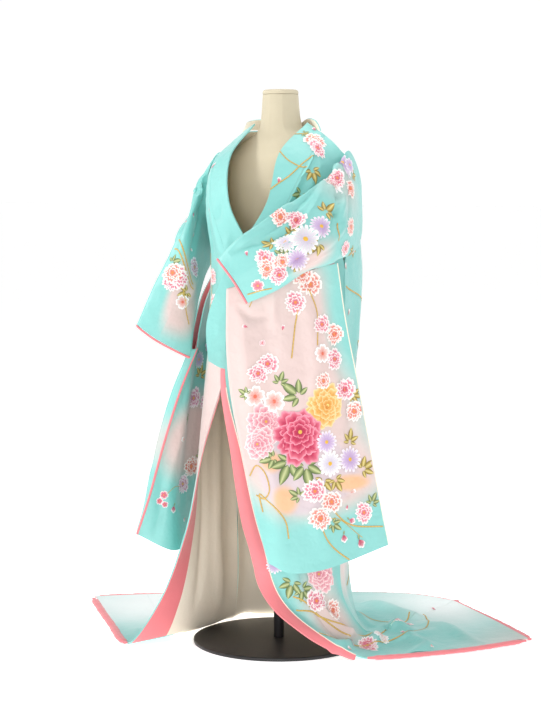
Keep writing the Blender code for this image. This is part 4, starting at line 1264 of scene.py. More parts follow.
        Spot(Motif.DOUBLE, Dye.ROSE, 3.1, 7.2, .066, 0),
        Spot(Motif.PETAL, Dye.SNOW, 3.7, 7.6, .022, 60),
        Spot(Motif.LEAVES, Dye.LEAF, 3.9, 7.0, .06, 300),
    )
    CORDS = (
        Cord(((14.0, 1.75), (13.45, 1.45), (13.1, 1.05), (12.75, .82), (12.3, .86))),
        Cord(((14.0, .95), (13.6, 1.12), (13.1, 1.20), (12.6, 1.12))),
        Cord(((14.0, .42), (13.6, .26), (13.2, .24))),
        Cord(((12.7, 8.0), (12.1, 8.1), (11.2, 8.6), (10.4, 9.2), (9.6, 9.7), (8.8, 10.2)), .0034),
        Cord(((12.9, 8.45), (12.2, 8.75), (11.5, 9.6), (10.9, 10.2), (10.0, 10.4)), .0034),
        Cord(((12.5, 7.8), (12.2, 7.9), (11.8, 8.3), (11.6, 8.8)), .0034),
        Cord(((2.9, 2.9), (2.5, 3.6), (2.9, 4.4), (2.4, 5.2)), .003),
        Cord(((5.1, 3.2), (5.8, 3.6), (6.2, 4.6), (5.6, 5.6), (5.4, 6.6), (6.3, 7.6), (7.4, 7.5),
              (8.3, 7.9)), .0036),
        Cord(((8.9, 3.4), (8.2, 3.8), (8.0, 4.8), (8.6, 5.8), (8.2, 6.8), (7.2, 7.1), (6.2, 6.7)),
             .0036),
        Cord(((5.2, 8.9), (6.2, 9.1), (7.0, 9.7), (8.0, 9.6), (8.9, 9.9)), .0036),
        Cord(((4.4, 8.4), (3.6, 8.9), (3.0, 9.6), (2.2, 9.9)), .0034),
    )

    def __init__(self, materials: Materials) -> None:
        """Samples the shared surface and puts in its folds and creases."""
        self.materials = materials
        surface = TableSurface(self.rows())
        across = np.linspace(0, 14, 14 * PER_COLUMN + 1)
        down = surface.row_places(CLOTH_STEP)
        self.cloth = Cloth(surface.grid(across, down), across, down)
        self.fold()
        self.cloth.crease(self.CREASES)
        self.pad_hem()
        self.cloth.points[..., 2] = np.maximum(self.cloth.points[..., 2], FLOOR + WALL)
        self.dye = dyed(GROUND, self.HAZES, *np.meshgrid(across, down))

    def rows(self) -> list[list[Point]]:
        """One row for each level, from the right free edge round the back to the left one."""
        rows = []
        for number, (right, left, centre) in enumerate(zip(RIGHT, LEFT, CENTRE_BACK)):
            sides = []
            for level in (right, left):
                front, back = np.array(level.front_side), np.array(level.back_side)
                if number >= SEAM_LEVEL:
                    middle = (front + back) / 2
                    apart = unit(back - front) * SEAM_GAP
                    front, back = middle - apart, middle + apart
                sides.append((tuple(front), tuple(back)))
            (front_right, back_right), (front_left, back_left) = sides
            rows.append([self.free_edge(right), right.seam, right.okumi, right.front, front_right,
                         back_right,
                         right.back, centre, left.back, back_left, front_left, left.front,
                         left.okumi, left.seam,
                         self.free_edge(left)])
        return rows

    @staticmethod
    def free_edge(level: Level) -> Point:
        """The collar's free edge, or the surface run on a little past the front edge below it."""
        if level.collar:
            return level.collar
        seam, okumi = np.array(level.seam), np.array(level.okumi)
        return tuple(seam + (seam - okumi) * COLLAR_TAIL)

    def fold(self) -> None:
        """Lifts the long soft folds of the skirt."""
        across, down = np.meshgrid(self.cloth.across, self.cloth.down)
        lift = np.zeros(across.shape)
        for fold in FOLDS:
            along = np.clip((down - fold.top) / (fold.bottom - fold.top), 0, 1)
            ridge = np.exp(-((across - fold.across) / fold.width) ** 2)
            lift += fold.height * np.sin(np.pi * along ** .8) * ridge
        self.cloth.points += self.cloth.normals * lift[..., None]
        self.cloth.normals = grid_normals(self.cloth.points)

    def pad_hem(self) -> None:
        """Raises the cloth over the padded roll along the hem and the front edges on the floor."""
        points = self.cloth.points
        below = np.linalg.norm(points - points[-1:], axis=2)
        lift = HEM_PAD_LIFT * np.exp(-(below / HEM_PAD_REACH) ** 2)
        on_floor = np.clip((self.cloth.down - FLOOR_LEVEL) * 3, 0, 1)[:, None]
        for column in (1.0, 13.0):
            edge = self.cloth.read(np.full(len(self.cloth.down), column), self.cloth.down)[0]
            beside = np.linalg.norm(points - edge[:, None], axis=2)
            lift = np.maximum(lift, HEM_PAD_LIFT * on_floor
                              * np.exp(-(beside / HEM_PAD_REACH) ** 2))
        points[..., 2] += lift

    def part(self, cut: Cut) -> tuple[Cloth, Array]:
        """The cloth and dye of one panel."""
        low, high = sorted((COLUMN[cut.first], COLUMN[cut.last]))
        part = self.cloth.part(low, high, cut.top, cut.bottom)
        dye = dyed(GROUND, self.HAZES, *np.meshgrid(part.across, part.down))
        return part, dye

    def build_panels(self) -> None:
        """The panels and collars, with their dyed flowers on one joined piece."""
        stencil = Stencil(self.cloth)
        flowers = stencil.draw(self.SPOTS, self.CORDS).skin().build("flowers_body",
                                                                    [self.materials.flowers])
        finish_piece(flowers)
        for cut in self.CUTS:
            part, dye = self.part(cut)
            step = unit(part.points[:, 1] - part.points[:, 0]) * SEAM_GAP
            part.points[:, 0] += step
            part.points[:, -1] -= unit(part.points[:, -1] - part.points[:, -2]) * SEAM_GAP
            # the okumi's inner face shows past its outer one under the collar:
            # a fault that silk on both faces hides
            inside = self.materials.satin if cut.name.startswith("okumi") else self.materials.cream
            piece = shell(part, dye).build("cloth_" + cut.name, [self.materials.satin, inside])
            finish_piece(piece, [cut.name])

    def build_linings(self) -> None:
        """Cream lining inside the skirt."""
        right, left = COLUMN["seam_right"] + .6, COLUMN["seam_left"] - .3
        for name, first, last, flat in (("lining_right", right, 4, (.27, .95)),
                                        ("lining_back", 5, 9, (.52, 1.00)),
                                        ("lining_left", 10, left, (.27, .95))):
            part = self.cloth.part(first, last, 4.5, 9.0)
            dye = np.broadcast_to(linear(CREAM_DYE), part.points.shape)
            skin = shell(part, dye, LINING, LINING_DEPTH)
            piece = skin.build("cloth_" + name, [self.materials.cream, self.materials.cream])
            finish_piece(piece, [name])

    def build_facings(self) -> None:
        """Coral facings: inside the right front edge, and rolled out past the left one."""
        part = self.cloth.part(1, 1 + 2 / 3 + .04, 5, 9.0)
        dye = np.broadcast_to(linear(CORAL_DYE), part.points.shape)
        piece = shell(part, dye, FACING, LINING_DEPTH).build("facing_right",
                                                             [self.materials.coral] * 2)
        finish_piece(piece, ["front_band_right"])
        down = self.cloth.down[(self.cloth.down >= COLLAR_END) & (self.cloth.down <= FLOOR_LEVEL)]
        seam = COLUMN["seam_left"]
        edge, normal = self.cloth.read(np.full(len(down), float(seam)), down)
        away = unit(edge - self.cloth.read(np.full(len(down), seam - .12), down)[0])
        share = np.linspace(0, 1, 9)
        opening = np.minimum(1, .35 + (down - COLLAR_END) * .35)
        width = FACING_WIDTH * opening * np.clip((9.15 - down) / .9, .3, 1)
        reach = SEAM_GAP + width[:, None] * share
        drop = normal[:, None] * (share ** 2 * FACING_DROP)[None, :, None]
        outer = edge[:, None] + away[:, None] * reach[..., None] - drop
        inner = outer - normal[:, None] * WALL
        outer[..., 2] = np.maximum(outer[..., 2], FLOOR + .0022)
        inner[..., 2] = np.maximum(inner[..., 2], FLOOR)
        skin = wall_skin(outer, inner, np.broadcast_to(linear(CORAL_DYE), outer.shape))
        piece = skin.build("facing_left", [self.materials.coral] * 2)
        finish_piece(piece, ["front_band_left"])
        self.piping()

    def piping(self) -> None:
        """The fine cream cord between the left front's silk and its facing."""
        down = self.cloth.down[(self.cloth.down >= COLLAR_END + .2)
                               & (self.cloth.down <= FLOOR_LEVEL)]
        edge, normal = self.cloth.read(np.full(len(down), float(COLUMN["seam_left"])), down)
        side = unit(np.cross(normal, np.gradient(edge, axis=0)))
        radius = np.full(len(down), PIPING_RADIUS)
        skin = tube_skin(edge + normal * .0004, side, normal, radius, radius, "#F6EFE2", 8)
        finish_piece(skin.build("piping_left", [self.materials.cream]))

    def build_hem(self) -> None:
        """The padded coral roll along the hem and the two front edges on the floor."""
        runs = (("fuki_right", np.full(60, 1.0), np.linspace(9.12, 10.96, 60), (1.12, None)),
                ("fuki_left", np.full(60, 13.0), np.linspace(9.12, 10.96, 60), (12.88, None)),
                ("fuki_hem", np.linspace(1, 13, 260), np.full(260, float(HEM)), (None, HEM - .1)))
        for name, across, down, (beside, above) in runs:
            path = self.cloth.read(across, down)[0]
            inside = self.cloth.read(across if beside is None else np.full(len(across), beside),
                                     down if above is None else np.full(len(down), above))[0]
            out = unit((path - inside) * np.array([1, 1, 0]))
            steps = np.arange(len(path))
            pucker = np.sin(steps * 1.9) * .0006 + np.sin(steps * .73 + 1) * .0005
            ends = np.clip(np.minimum(steps, steps[::-1]) / 3, .55, 1)
            centre = path + out * HEM_ROLL_OUT
            centre[:, 2] = FLOOR + HEM_ROLL_HEIGHT / 2
            up = np.tile([0.0, 0.0, 1.0], (len(path), 1))
            skin = tube_skin(centre, out, up, (HEM_ROLL_WIDTH / 2 + pucker) * ends,
                             (HEM_ROLL_HEIGHT / 2 + pucker * .5) * ends, CORAL_DYE, 14)
            piece = skin.build("roll_" + name, [self.materials.coral])
            finish_piece(piece, [name])

    def build_neck(self) -> None:
        """The collar band round the back of the neck."""
        across = np.linspace(COLUMN["back_right"] - .1, COLUMN["back_left"] + .1, 60)
        seam = self.cloth.read(across, np.zeros(60))[0] + np.array([0, 0, .004])
        toward = unit(-(seam - np.array([0, .01, 0])) * np.array([1, 1, 0]))
        free = seam + toward * NECK_BAND_LEAN + np.array([0, 0, NECK_BAND_RISE])
        normals = unit(np.cross(np.gradient(seam, axis=0), seam - free))
        normals *= np.sign(normals[30] @ np.array([0, 1, 0]))
        share = np.linspace(0, 1, 9)[:, None, None]
        bow = normals[None] * np.sin(share * math.pi) * .002
        outer = free[None] * (1 - share) + seam[None] * share + bow
        inner = outer - normals[None] * WALL
        skin = wall_skin(outer, inner, np.broadcast_to(linear(GROUND), outer.shape))
        piece = skin.build("cloth_collar_neck", [self.materials.satin, self.materials.cream])
        finish_piece(piece, ["collar_neck"])

    def build(self) -> None:
        """Builds everything on the body's surface."""
        self.build_panels()
        self.build_linings()
        self.build_facings()
        self.build_hem()
        self.build_neck()


@dataclass
class Sleeve:
    """One sleeve: the arm's tube, its cuff and the long hanging bag."""
    side: str
    arm: Sequence[Ring]
    bag: Sequence[BagRow]
    arm_hazes: Sequence[Haze]
    arm_creases: Sequence[Crease]
    arm_spots: Sequence[Spot]
    arm_cords: Sequence[Cord]
    bag_hazes: Sequence[Haze]
    bag_creases: Sequence[Crease]
    bag_spots: Sequence[Spot]
    bag_cords: Sequence[Cord]
    far_spots: Sequence[Spot]
    far_cords: Sequence[Cord]
    bag_flat: tuple[float, float]
    materials: Materials
    silk_above: float = 1.08   # height above which the inner face is silk, to cover a fault
    coral_fold: bool = False   # whether the coral lining rolls out along the bag's fold

    def build_arm(self) -> None:
        """The tube round the arm, and its flowers."""
        surface = TableSurface([[r.front, r.top, r.back, r.under] for r in self.arm], ring=True)
        count = 112
        across = np.arange(count) * 4 / count
        down = surface.row_places(.008)
        cloth = Cloth(surface.grid(across, down), across, down, ring=True)
        middle = cloth.points.mean(axis=1, keepdims=True)
        outwards = np.sign(np.einsum("ijk,ijk->", cloth.points - middle, cloth.normals))
        cloth.crease([Crease(c.path, c.width, c.height * outwards) for c in self.arm_creases])
        cloth.normals = cloth.normals * outwards
        dye = dyed(GROUND, self.arm_hazes, *np.meshgrid(across, down))
        inner = cloth.points - cloth.normals * WALL
        skin = wall_skin(cloth.points, inner, dye, ring=True)
        piece = skin.build("cloth_sleeve_%s_arm" % self.side,
                           [self.materials.satin, self.materials.coral])
        # the right arm's wall folds through itself near the armhole. Silk inside
        # both arms covers that fault and doesn't mend it
        for face in piece.data.polygons:
            if face.center.z > self.silk_above:
                face.material_index = 0
        finish_piece(piece, ["sleeve_%s_arm" % self.side])
        turns = np.arange(-count // 4, count + count // 4 + 1)
        wide = Cloth(cloth.points[:, turns % count], turns * 4 / count, down)
        wide.normals = cloth.normals[:, turns % count]
        flowers = Stencil(wide).draw(self.arm_spots, self.arm_cords).skin()
        flowers = flowers.build("flowers_%s_arm" % self.side, [self.materials.flowers])
        finish_piece(flowers)
        self.build_cuff(cloth)

    def build_cuff(self, cloth: Cloth) -> None:
        """The padded coral edge of the cuff."""
        path = cloth.points[-1] - cloth.normals[-1] * WALL / 2
        along = unit(cloth.points[-1] - cloth.points[-3])
        path = path + along * CUFF_OUT
        radius = np.full(len(path), CUFF_RADIUS)
        skin = tube_skin(path, along, cloth.normals[-1], radius, radius, CORAL_DYE, 10, ring=True)
        piece = skin.build("roll_cuff_" + self.side, [self.materials.coral])
        finish_piece(piece, ["cuff_" + self.side])

    def build_bag(self) -> None:
        """The hanging bag: its showing face, round the fold and back along its far face."""
        surface = TableSurface([[r.fold, r.near, r.far, r.opening] for r in self.bag])
        across = np.linspace(0, 3, 85)
        down = surface.row_places(.007)
        cloth = Cloth(surface.grid(across, down), across, down)
        outwards = np.sign(np.einsum("ijk,k->", cloth.normals, np.array(BAG_FRONT)))
        cloth.crease([Crease(c.path, c.width, c.height * outwards) for c in self.bag_creases])
        level = unit(cloth.normals * outwards * np.array([1, 1, 0]))
        depth = np.interp(down, np.arange(len(self.bag)), [r.depth for r in self.bag]) + .0075
        depth = depth[:, None, None]
        front = cloth.points
        far = front - level * depth
        along = unit(front[:, 0] - front[:, 1])
        middle = front[:, 0] - level[:, 0] * depth[:, 0] / 2
        turns = np.linspace(math.pi / 2, -math.pi / 2, 9)[1:-1]
        bulge = np.minimum(depth[:, 0] / 2, BAG_FOLD_BULGE)
        edge = np.stack([middle + along * bulge * math.cos(t)
                         + level[:, 0] * depth[:, 0] / 2 * math.sin(t) for t in turns], axis=1)
        outside = np.stack([along * math.cos(t) + level[:, 0] * math.sin(t) for t in turns], axis=1)
        outer = np.concatenate([front[:, ::-1], edge, far], axis=1)
        normals = np.concatenate([level[:, ::-1], unit(outside), -level], axis=1)
        inner = outer - normals * WALL * .9
        hazes = self.bag_hazes
        face_dye = dyed(GROUND, hazes, *np.meshgrid(across, down))
        edge_dye = np.repeat(face_dye[:, :1], edge.shape[1], axis=1)
        dye = np.concatenate([face_dye[:, ::-1], edge_dye, face_dye], axis=1)
        skin = wall_skin(outer, inner, dye)
        piece = skin.build("cloth_sleeve_%s_bag" % self.side,
                           [self.materials.satin, self.materials.coral])
        finish_piece(piece, ["sleeve_%s_bag" % self.side])
        shown = Cloth(front, across, down)
        shown.normals = level
        behind = Cloth(far, across, down)
        behind.normals = -level
        near_skin = Stencil(shown).draw(self.bag_spots, self.bag_cords).skin()
        far_skin = Stencil(behind).draw(self.far_spots, self.far_cords).skin()
        flowers = joined([near_skin, far_skin]).build("flowers_%s_bag" % self.side,
                                                      [self.materials.flowers])
        finish_piece(flowers)
        edges = [self.edging("edging", front[:, -1], front[:, -1] - front[:, -2], level[:, -1],
                             .0021, "#FBF4EE")]
        if self.coral_fold:
            edges.append(self.edging("coral_fold", front[:, 0], along, level[:, 0], .0034,
                                     CORAL_DYE))

    def edging(self, name: str, path: Array, away: Array, level: Array, radius: float,
               dye: str) -> bpy.types.Object:
        """A fine edge of another silk along one side of the bag."""
        out = unit(away)
        radii = np.full(len(path), radius)
        skin = tube_skin(path + out * radius * .75 - level * .0016, out, level, radii, radii, dye,
                         8)
        coral = dye == CORAL_DYE
        piece = skin.build(name + "_sleeve_" + self.side,
                           [self.materials.coral if coral else self.materials.cream])
        return finish_piece(piece)

    def build(self) -> None:
        """Builds the arm and the bag."""
        self.build_arm()
        self.build_bag()


def left_sleeve(materials: Materials) -> Sleeve:
    """The sleeve folded across the front, with its flowers."""
    return Sleeve(
        "left", LEFT_ARM, LEFT_BAG,
        arm_hazes=(Haze(1.5, 2.9, .6, .9, PINK, .8), Haze(.9, 1.0, .9, .9, PINK, .9, .5)),
        arm_creases=(
            Crease(((.62, 1.0), (.95, 1.9), (1.2, 2.9), (1.3, 3.9)), .005, -.006),
            Crease(((.45, 1.3), (.55, 2.2), (.75, 3.2), (.8, 4.2)), .005, .006),
            Crease(((.30, 1.1), (.30, 2.0), (.38, 3.1), (.40, 4.4)), .005, -.007),
            Crease(((.05, 1.5), (.10, 2.4), (.18, 3.4), (.20, 4.5)), .0045, .006),
            Crease(((1.0, .5), (1.1, 1.2), (1.45, 1.9)), .005, -.006),
            Crease(((.5, .3), (.75, .8), (1.2, 1.1)), .005, .006),
            Crease(((1.55, 2.2), (1.5, 3.0), (1.52, 4.0)), .005, .005),
            Crease(((.35, 4.6), (.5, 3.8), (.55, 2.9), (.45, 2.2)), .010, -.015),
            Crease(((.15, 3.6), (.2, 2.8), (.1, 2.0)), .009, .0105),
            Crease(((.9, 1.6), (.7, 1.2), (.3, .9)), .010, -.0135),
            Crease(((1.1, 1.9), (.9, 1.4), (.5, 1.2)), .010, .0135),
            Crease(((1.3, 2.3), (1.0, 1.9), (.6, 1.75)), .010, -.012),
            Crease(((1.4, 3.0), (1.3, 2.3), (1.3, 1.6)), .012, .0105),
            Crease(((.8, .9), (.6, .5), (.3, .3)), .010, .012),
            Crease(((2.2, 2.0), (2.6, 1.5), (3.0, 1.2)), .014, -.012),
            Crease(((1.25, 4.4), (1.3, 3.6), (1.2, 3.0)), .012, -.0075)),
        arm_spots=(
            Spot(Motif.LEAVES, Dye.OLIVE, .75, 1.98, .055, 70),
            Spot(Motif.LEAVES, Dye.OLIVE, 1.18, 2.66, .050, 280),
            Spot(Motif.LEAVES, Dye.OLIVE, .60, 2.88, .045, 130),
            Spot(Motif.LEAVES, Dye.OLIVE, .62, 3.55, .045, 200),
            Spot(Motif.LEAVES, Dye.OLIVE, 1.40, 3.30, .038, 260),
            Spot(Motif.LEAVES, Dye.LEAF, .95, 3.62, .040, 150),
            Spot(Motif.DOUBLE, Dye.SALMON, .26, 2.72, .060, 0),
            Spot(Motif.DOUBLE, Dye.ROSE, .47, 2.52, .064, 40),
            Spot(Motif.DAISY, Dye.PEARL, .70, 3.28, .064, 6),
            Spot(Motif.DAISY, Dye.LILAC, .88, 2.36, .066, 0),
            Spot(Motif.DAISY, Dye.PEARL, .86, 2.84, .086, 10),
            Spot(Motif.DAISY, Dye.LILAC, 1.24, 3.30, .064, 3),
            Spot(Motif.DOUBLE, Dye.ROSE, .84, 4.05, .056, 20),
            Spot(Motif.DOUBLE, Dye.SALMON, 1.12, 4.16, .052, 60),
            Spot(Motif.DOUBLE, Dye.SALMON, 1.12, 3.72, .052, 10),
            Spot(Motif.DOUBLE, Dye.ROSE, 1.42, 3.92, .054, 80),
            Spot(Motif.BLOSSOM, Dye.BLUSH, 1.45, 4.55, .036, 20),
            Spot(Motif.PETAL, Dye.ROSE, .62, 4.35, .016, 150),
            Spot(Motif.DAISY, Dye.LILAC, .68, .32, .056, 0),
            Spot(Motif.DAISY, Dye.LILAC, 1.02, .42, .046, 8),
            Spot(Motif.DOUBLE, Dye.SNOW, .42, .78, .062, 0),
            Spot(Motif.DOUBLE, Dye.ROSE, .66, .98, .060, 30),
            Spot(Motif.DOUBLE, Dye.SALMON, 1.12, 1.02, .056, 60),
            Spot(Motif.LEAVES, Dye.OLIVE, 1.18, .56, .034, 40),
            Spot(Motif.DOUBLE, Dye.SALMON, 1.45, 1.55, .056, 10),
            Spot(Motif.DOUBLE, Dye.ROSE, 1.72, 1.80, .050, 50),
            Spot(Motif.LEAVES, Dye.OLIVE, 1.9, 1.5, .036, 300),
            Spot(Motif.DOUBLE, Dye.ROSE, 2.4, 2.6, .056, 0),
            Spot(Motif.BLOSSOM, Dye.SNOW, 2.8, 3.3, .046, 30),
            Spot(Motif.DOUBLE, Dye.SALMON, 2.6, 1.3, .056, 0),
            Spot(Motif.DOUBLE, Dye.ROSE, 3.0, .7, .05, 40)),
        arm_cords=(Cord(((1.15, 1.95), (1.3, 2.1), (1.45, 2.05))),
            Cord(((1.58, 4.9), (1.62, 4.5), (1.7, 4.2)))),
        bag_hazes=(
            Haze(1.0, 1.6, 2.6, 2.7, PINK, .35), Haze(2.0, 3.2, 1.7, 1.0, PINK, .5),
            Haze(3.1, .9, .75, 1.7, GROUND, .7), Haze(.1, 4.7, 1.6, .9, GROUND, .6),
            Haze(1.55, 3.2, 1.25, .78, "#D3C4CB", .16, .8),
            Haze(.85, 3.02, .42, .22, "#F0BE93", .5), Haze(1.12, 3.66, .42, .30, "#F0BE93", .5),
            Haze(2.55, 3.42, .42, .20, "#F0BE93", .5)),
        bag_creases=(
            Crease(((.4, .3), (.5, 1.6), (.4, 3.0)), .022, .009),
            Crease(((1.2, .5), (1.1, 2.0), (1.3, 3.6)), .026, -.009),
            Crease(((2.1, .2), (2.2, 1.4), (2.0, 2.8)), .022, .0105),
            Crease(((2.7, .3), (2.75, 1.8), (2.7, 3.4)), .018, -.009),
            Crease(((.8, 3.0), (.9, 4.0), (.7, 4.8)), .024, .0075),
            Crease(((1.9, 3.2), (1.8, 4.0), (2.0, 4.8)), .022, .0075),
            Crease(((1.5, .1), (1.35, .5), (1.3, 1.0)), .012, .009),
            Crease(((.25, .4), (.7, .7), (1.2, .8)), .010, -.006)),
        bag_spots=(
            Spot(Motif.LEAVES, Dye.LEAF, 1.75, 1.98, .070, 140),
            Spot(Motif.LEAVES, Dye.LEAF, 1.35, 3.00, .080, 250),
            Spot(Motif.LEAVES, Dye.LEAF, 1.70, 3.05, .080, 285),
            Spot(Motif.LEAVES, Dye.LEAF, .95, 2.95, .050, 200),
            Spot(Motif.LEAVES, Dye.OLIVE, 2.05, 3.34, .056, 260),
            Spot(Motif.LEAVES, Dye.OLIVE, 2.28, 3.34, .046, 300),
            Spot(Motif.LEAVES, Dye.OLIVE, 2.66, 2.72, .046, 80),
            Spot(Motif.LEAVES, Dye.OLIVE, 2.80, 3.18, .056, 30),
            Spot(Motif.LEAVES, Dye.LEAF, .45, 1.92, .034, 150),
            Spot(Motif.LEAVES, Dye.LEAF, 1.35, 1.78, .040, 70),
            Spot(Motif.LEAVES, Dye.OLIVE, 2.86, 2.05, .040, 350),
            Spot(Motif.DOUBLE, Dye.SALMON, 2.08, .06, .064, 0),
            Spot(Motif.DOUBLE, Dye.SALMON, 2.26, .27, .068, 40),
            Spot(Motif.DOUBLE, Dye.ROSE, 1.86, .56, .064, 10),
            Spot(Motif.PETAL, Dye.ROSE, 1.5, 1.05, .016, 70),
            Spot(Motif.DOUBLE, Dye.ROSE, 2.42, 1.02, .056, 0),
            Spot(Motif.DOUBLE, Dye.SALMON, 2.72, 1.18, .058, 50),
            Spot(Motif.BLOSSOM, Dye.SNOW, 2.34, 1.42, .054, 12),
            Spot(Motif.DOUBLE, Dye.ROSE, 2.62, 1.52, .060, 30),
            Spot(Motif.DOUBLE, Dye.SALMON, 2.28, 1.80, .050, 0),
            Spot(Motif.DOUBLE, Dye.ROSE, 1.0, 1.20, .018, 0),
            Spot(Motif.DOUBLE, Dye.ROSE, 1.10, 1.50, .060, 20),
            Spot(Motif.PETAL, Dye.ROSE, .62, .90, .016, 150),
            Spot(Motif.DOUBLE, Dye.ROSE, .82, 1.62, .058, 60),
            Spot(Motif.BLOSSOM, Dye.SNOW, .68, 1.95, .060, 8),
            Spot(Motif.BLOSSOM, Dye.SNOW, 1.18, 2.04, .062, 40),
            Spot(Motif.DOUBLE, Dye.ROSE, 2.74, 1.96, .066, 0),
            Spot(Motif.DOUBLE, Dye.SALMON, 2.84, 2.28, .056, 70),
            Spot(Motif.PEONY, Dye.BLUSH, .82, 2.42, .105, 60),
            Spot(Motif.PEONY, Dye.BLUSH, .62, 2.72, .085, 200),
            Spot(Motif.DAISY, Dye.LILAC, 2.20, 2.70, .062, 5),
            Spot(Motif.DAISY, Dye.LILAC, 2.60, 2.98, .070, 20),
            Spot(Motif.DAISY, Dye.PEARL, 2.22, 3.04, .070, 0),
            Spot(Motif.PEONY, Dye.AMBER, 2.24, 2.18, .118, 20),
            Spot(Motif.PEONY, Dye.CRIMSON, 1.64, 2.62, .142, 80),
            Spot(Motif.LEAVES, Dye.LEAF, 2.14, 4.15, .040, 320),
            Spot(Motif.LEAVES, Dye.LEAF, 1.50, 3.60, .040, 150),
            Spot(Motif.DOUBLE, Dye.ROSE, 1.84, 3.52, .070, 0),
            Spot(Motif.DOUBLE, Dye.SALMON, 2.16, 3.74, .064, 40),
            Spot(Motif.DOUBLE, Dye.SALMON, 1.90, 4.00, .068, 80),
            Spot(Motif.LEAVES, Dye.LEAF, 2.86, 3.90, .040, 60),
            Spot(Motif.DOUBLE, Dye.ROSE, 2.70, 4.06, .060, 10),
            Spot(Motif.BUD, Dye.ROSE, 2.32, 4.42, .022, 270),
            Spot(Motif.BUD, Dye.ROSE, 2.56, 4.62, .026, 290),
            Spot(Motif.BUD, Dye.ROSE, 2.44, 4.14, .020, 330),
            Spot(Motif.PETAL, Dye.SNOW, 2.52, 3.62, .018, 20),
            Spot(Motif.PETAL, Dye.ROSE, 2.44, 3.84, .014, 250)),
        bag_cords=(
            Cord(((.05, 3.30), (.35, 3.10), (.62, 3.22), (.70, 3.50), (.45, 3.66), (.15, 3.62))),
            Cord(((.30, 3.90), (.28, 3.60), (.50, 3.66), (.85, 3.80), (1.08, 4.02), (1.10, 4.34)),
                 .003),
            Cord(((1.90, 4.10), (2.02, 4.46), (2.38, 4.97)), .003),
            Cord(((2.12, 3.80), (2.45, 4.25), (2.97, 4.50)), .003),
            Cord(((1.98, 4.02), (2.3, 4.12), (2.62, 4.60)), .0014),
            Cord(((2.20, .35), (2.34, .8), (2.24, 1.3)), .003),
            Cord(((1.90, .7), (1.80, 1.0), (1.66, 1.45)), .003),
            Cord(((.95, .02), (.85, .3), (.70, .5)), .0018)),
        far_spots=(
            Spot(Motif.LEAVES, Dye.LEAF, 1.2, 2.4, .09, 240),
            Spot(Motif.LEAVES, Dye.LEAF, 1.9, 1.5, .09, 60),
            Spot(Motif.DAISY, Dye.LILAC, 2.3, 2.3, .08, 0),
            Spot(Motif.PEONY, Dye.AMBER, .95, 1.55, .11, 0),
            Spot(Motif.PEONY, Dye.CRIMSON, 1.5, 2.0, .14, 60),
            Spot(Motif.DOUBLE, Dye.ROSE, 2.1, 1.2, .07, 0),
            Spot(Motif.DOUBLE, Dye.SALMON, 1.5, .9, .07, 40),
            Spot(Motif.DOUBLE, Dye.ROSE, 1.9, 3.0, .07, 20),
            Spot(Motif.DOUBLE, Dye.SALMON, 1.4, 3.2, .07, 50),
            Spot(Motif.BLOSSOM, Dye.SNOW, .8, 3.0, .06, 10),
            Spot(Motif.PETAL, Dye.ROSE, 1.0, 3.9, .02, 80),
            Spot(Motif.PETAL, Dye.SNOW, 2.2, 4.1, .02, 30)),
        far_cords=(Cord(((.2, .4), (.8, 1.0), (.5, 2.0), (.7, 3.2), (1.6, 4.0), (2.6, 4.3)), .0032),
                   Cord(((2.8, .6), (2.5, 1.6), (2.7, 2.8), (2.2, 3.8), (1.2, 4.6)), .0032)),
        bag_flat=(.66, .84),
        materials=materials)


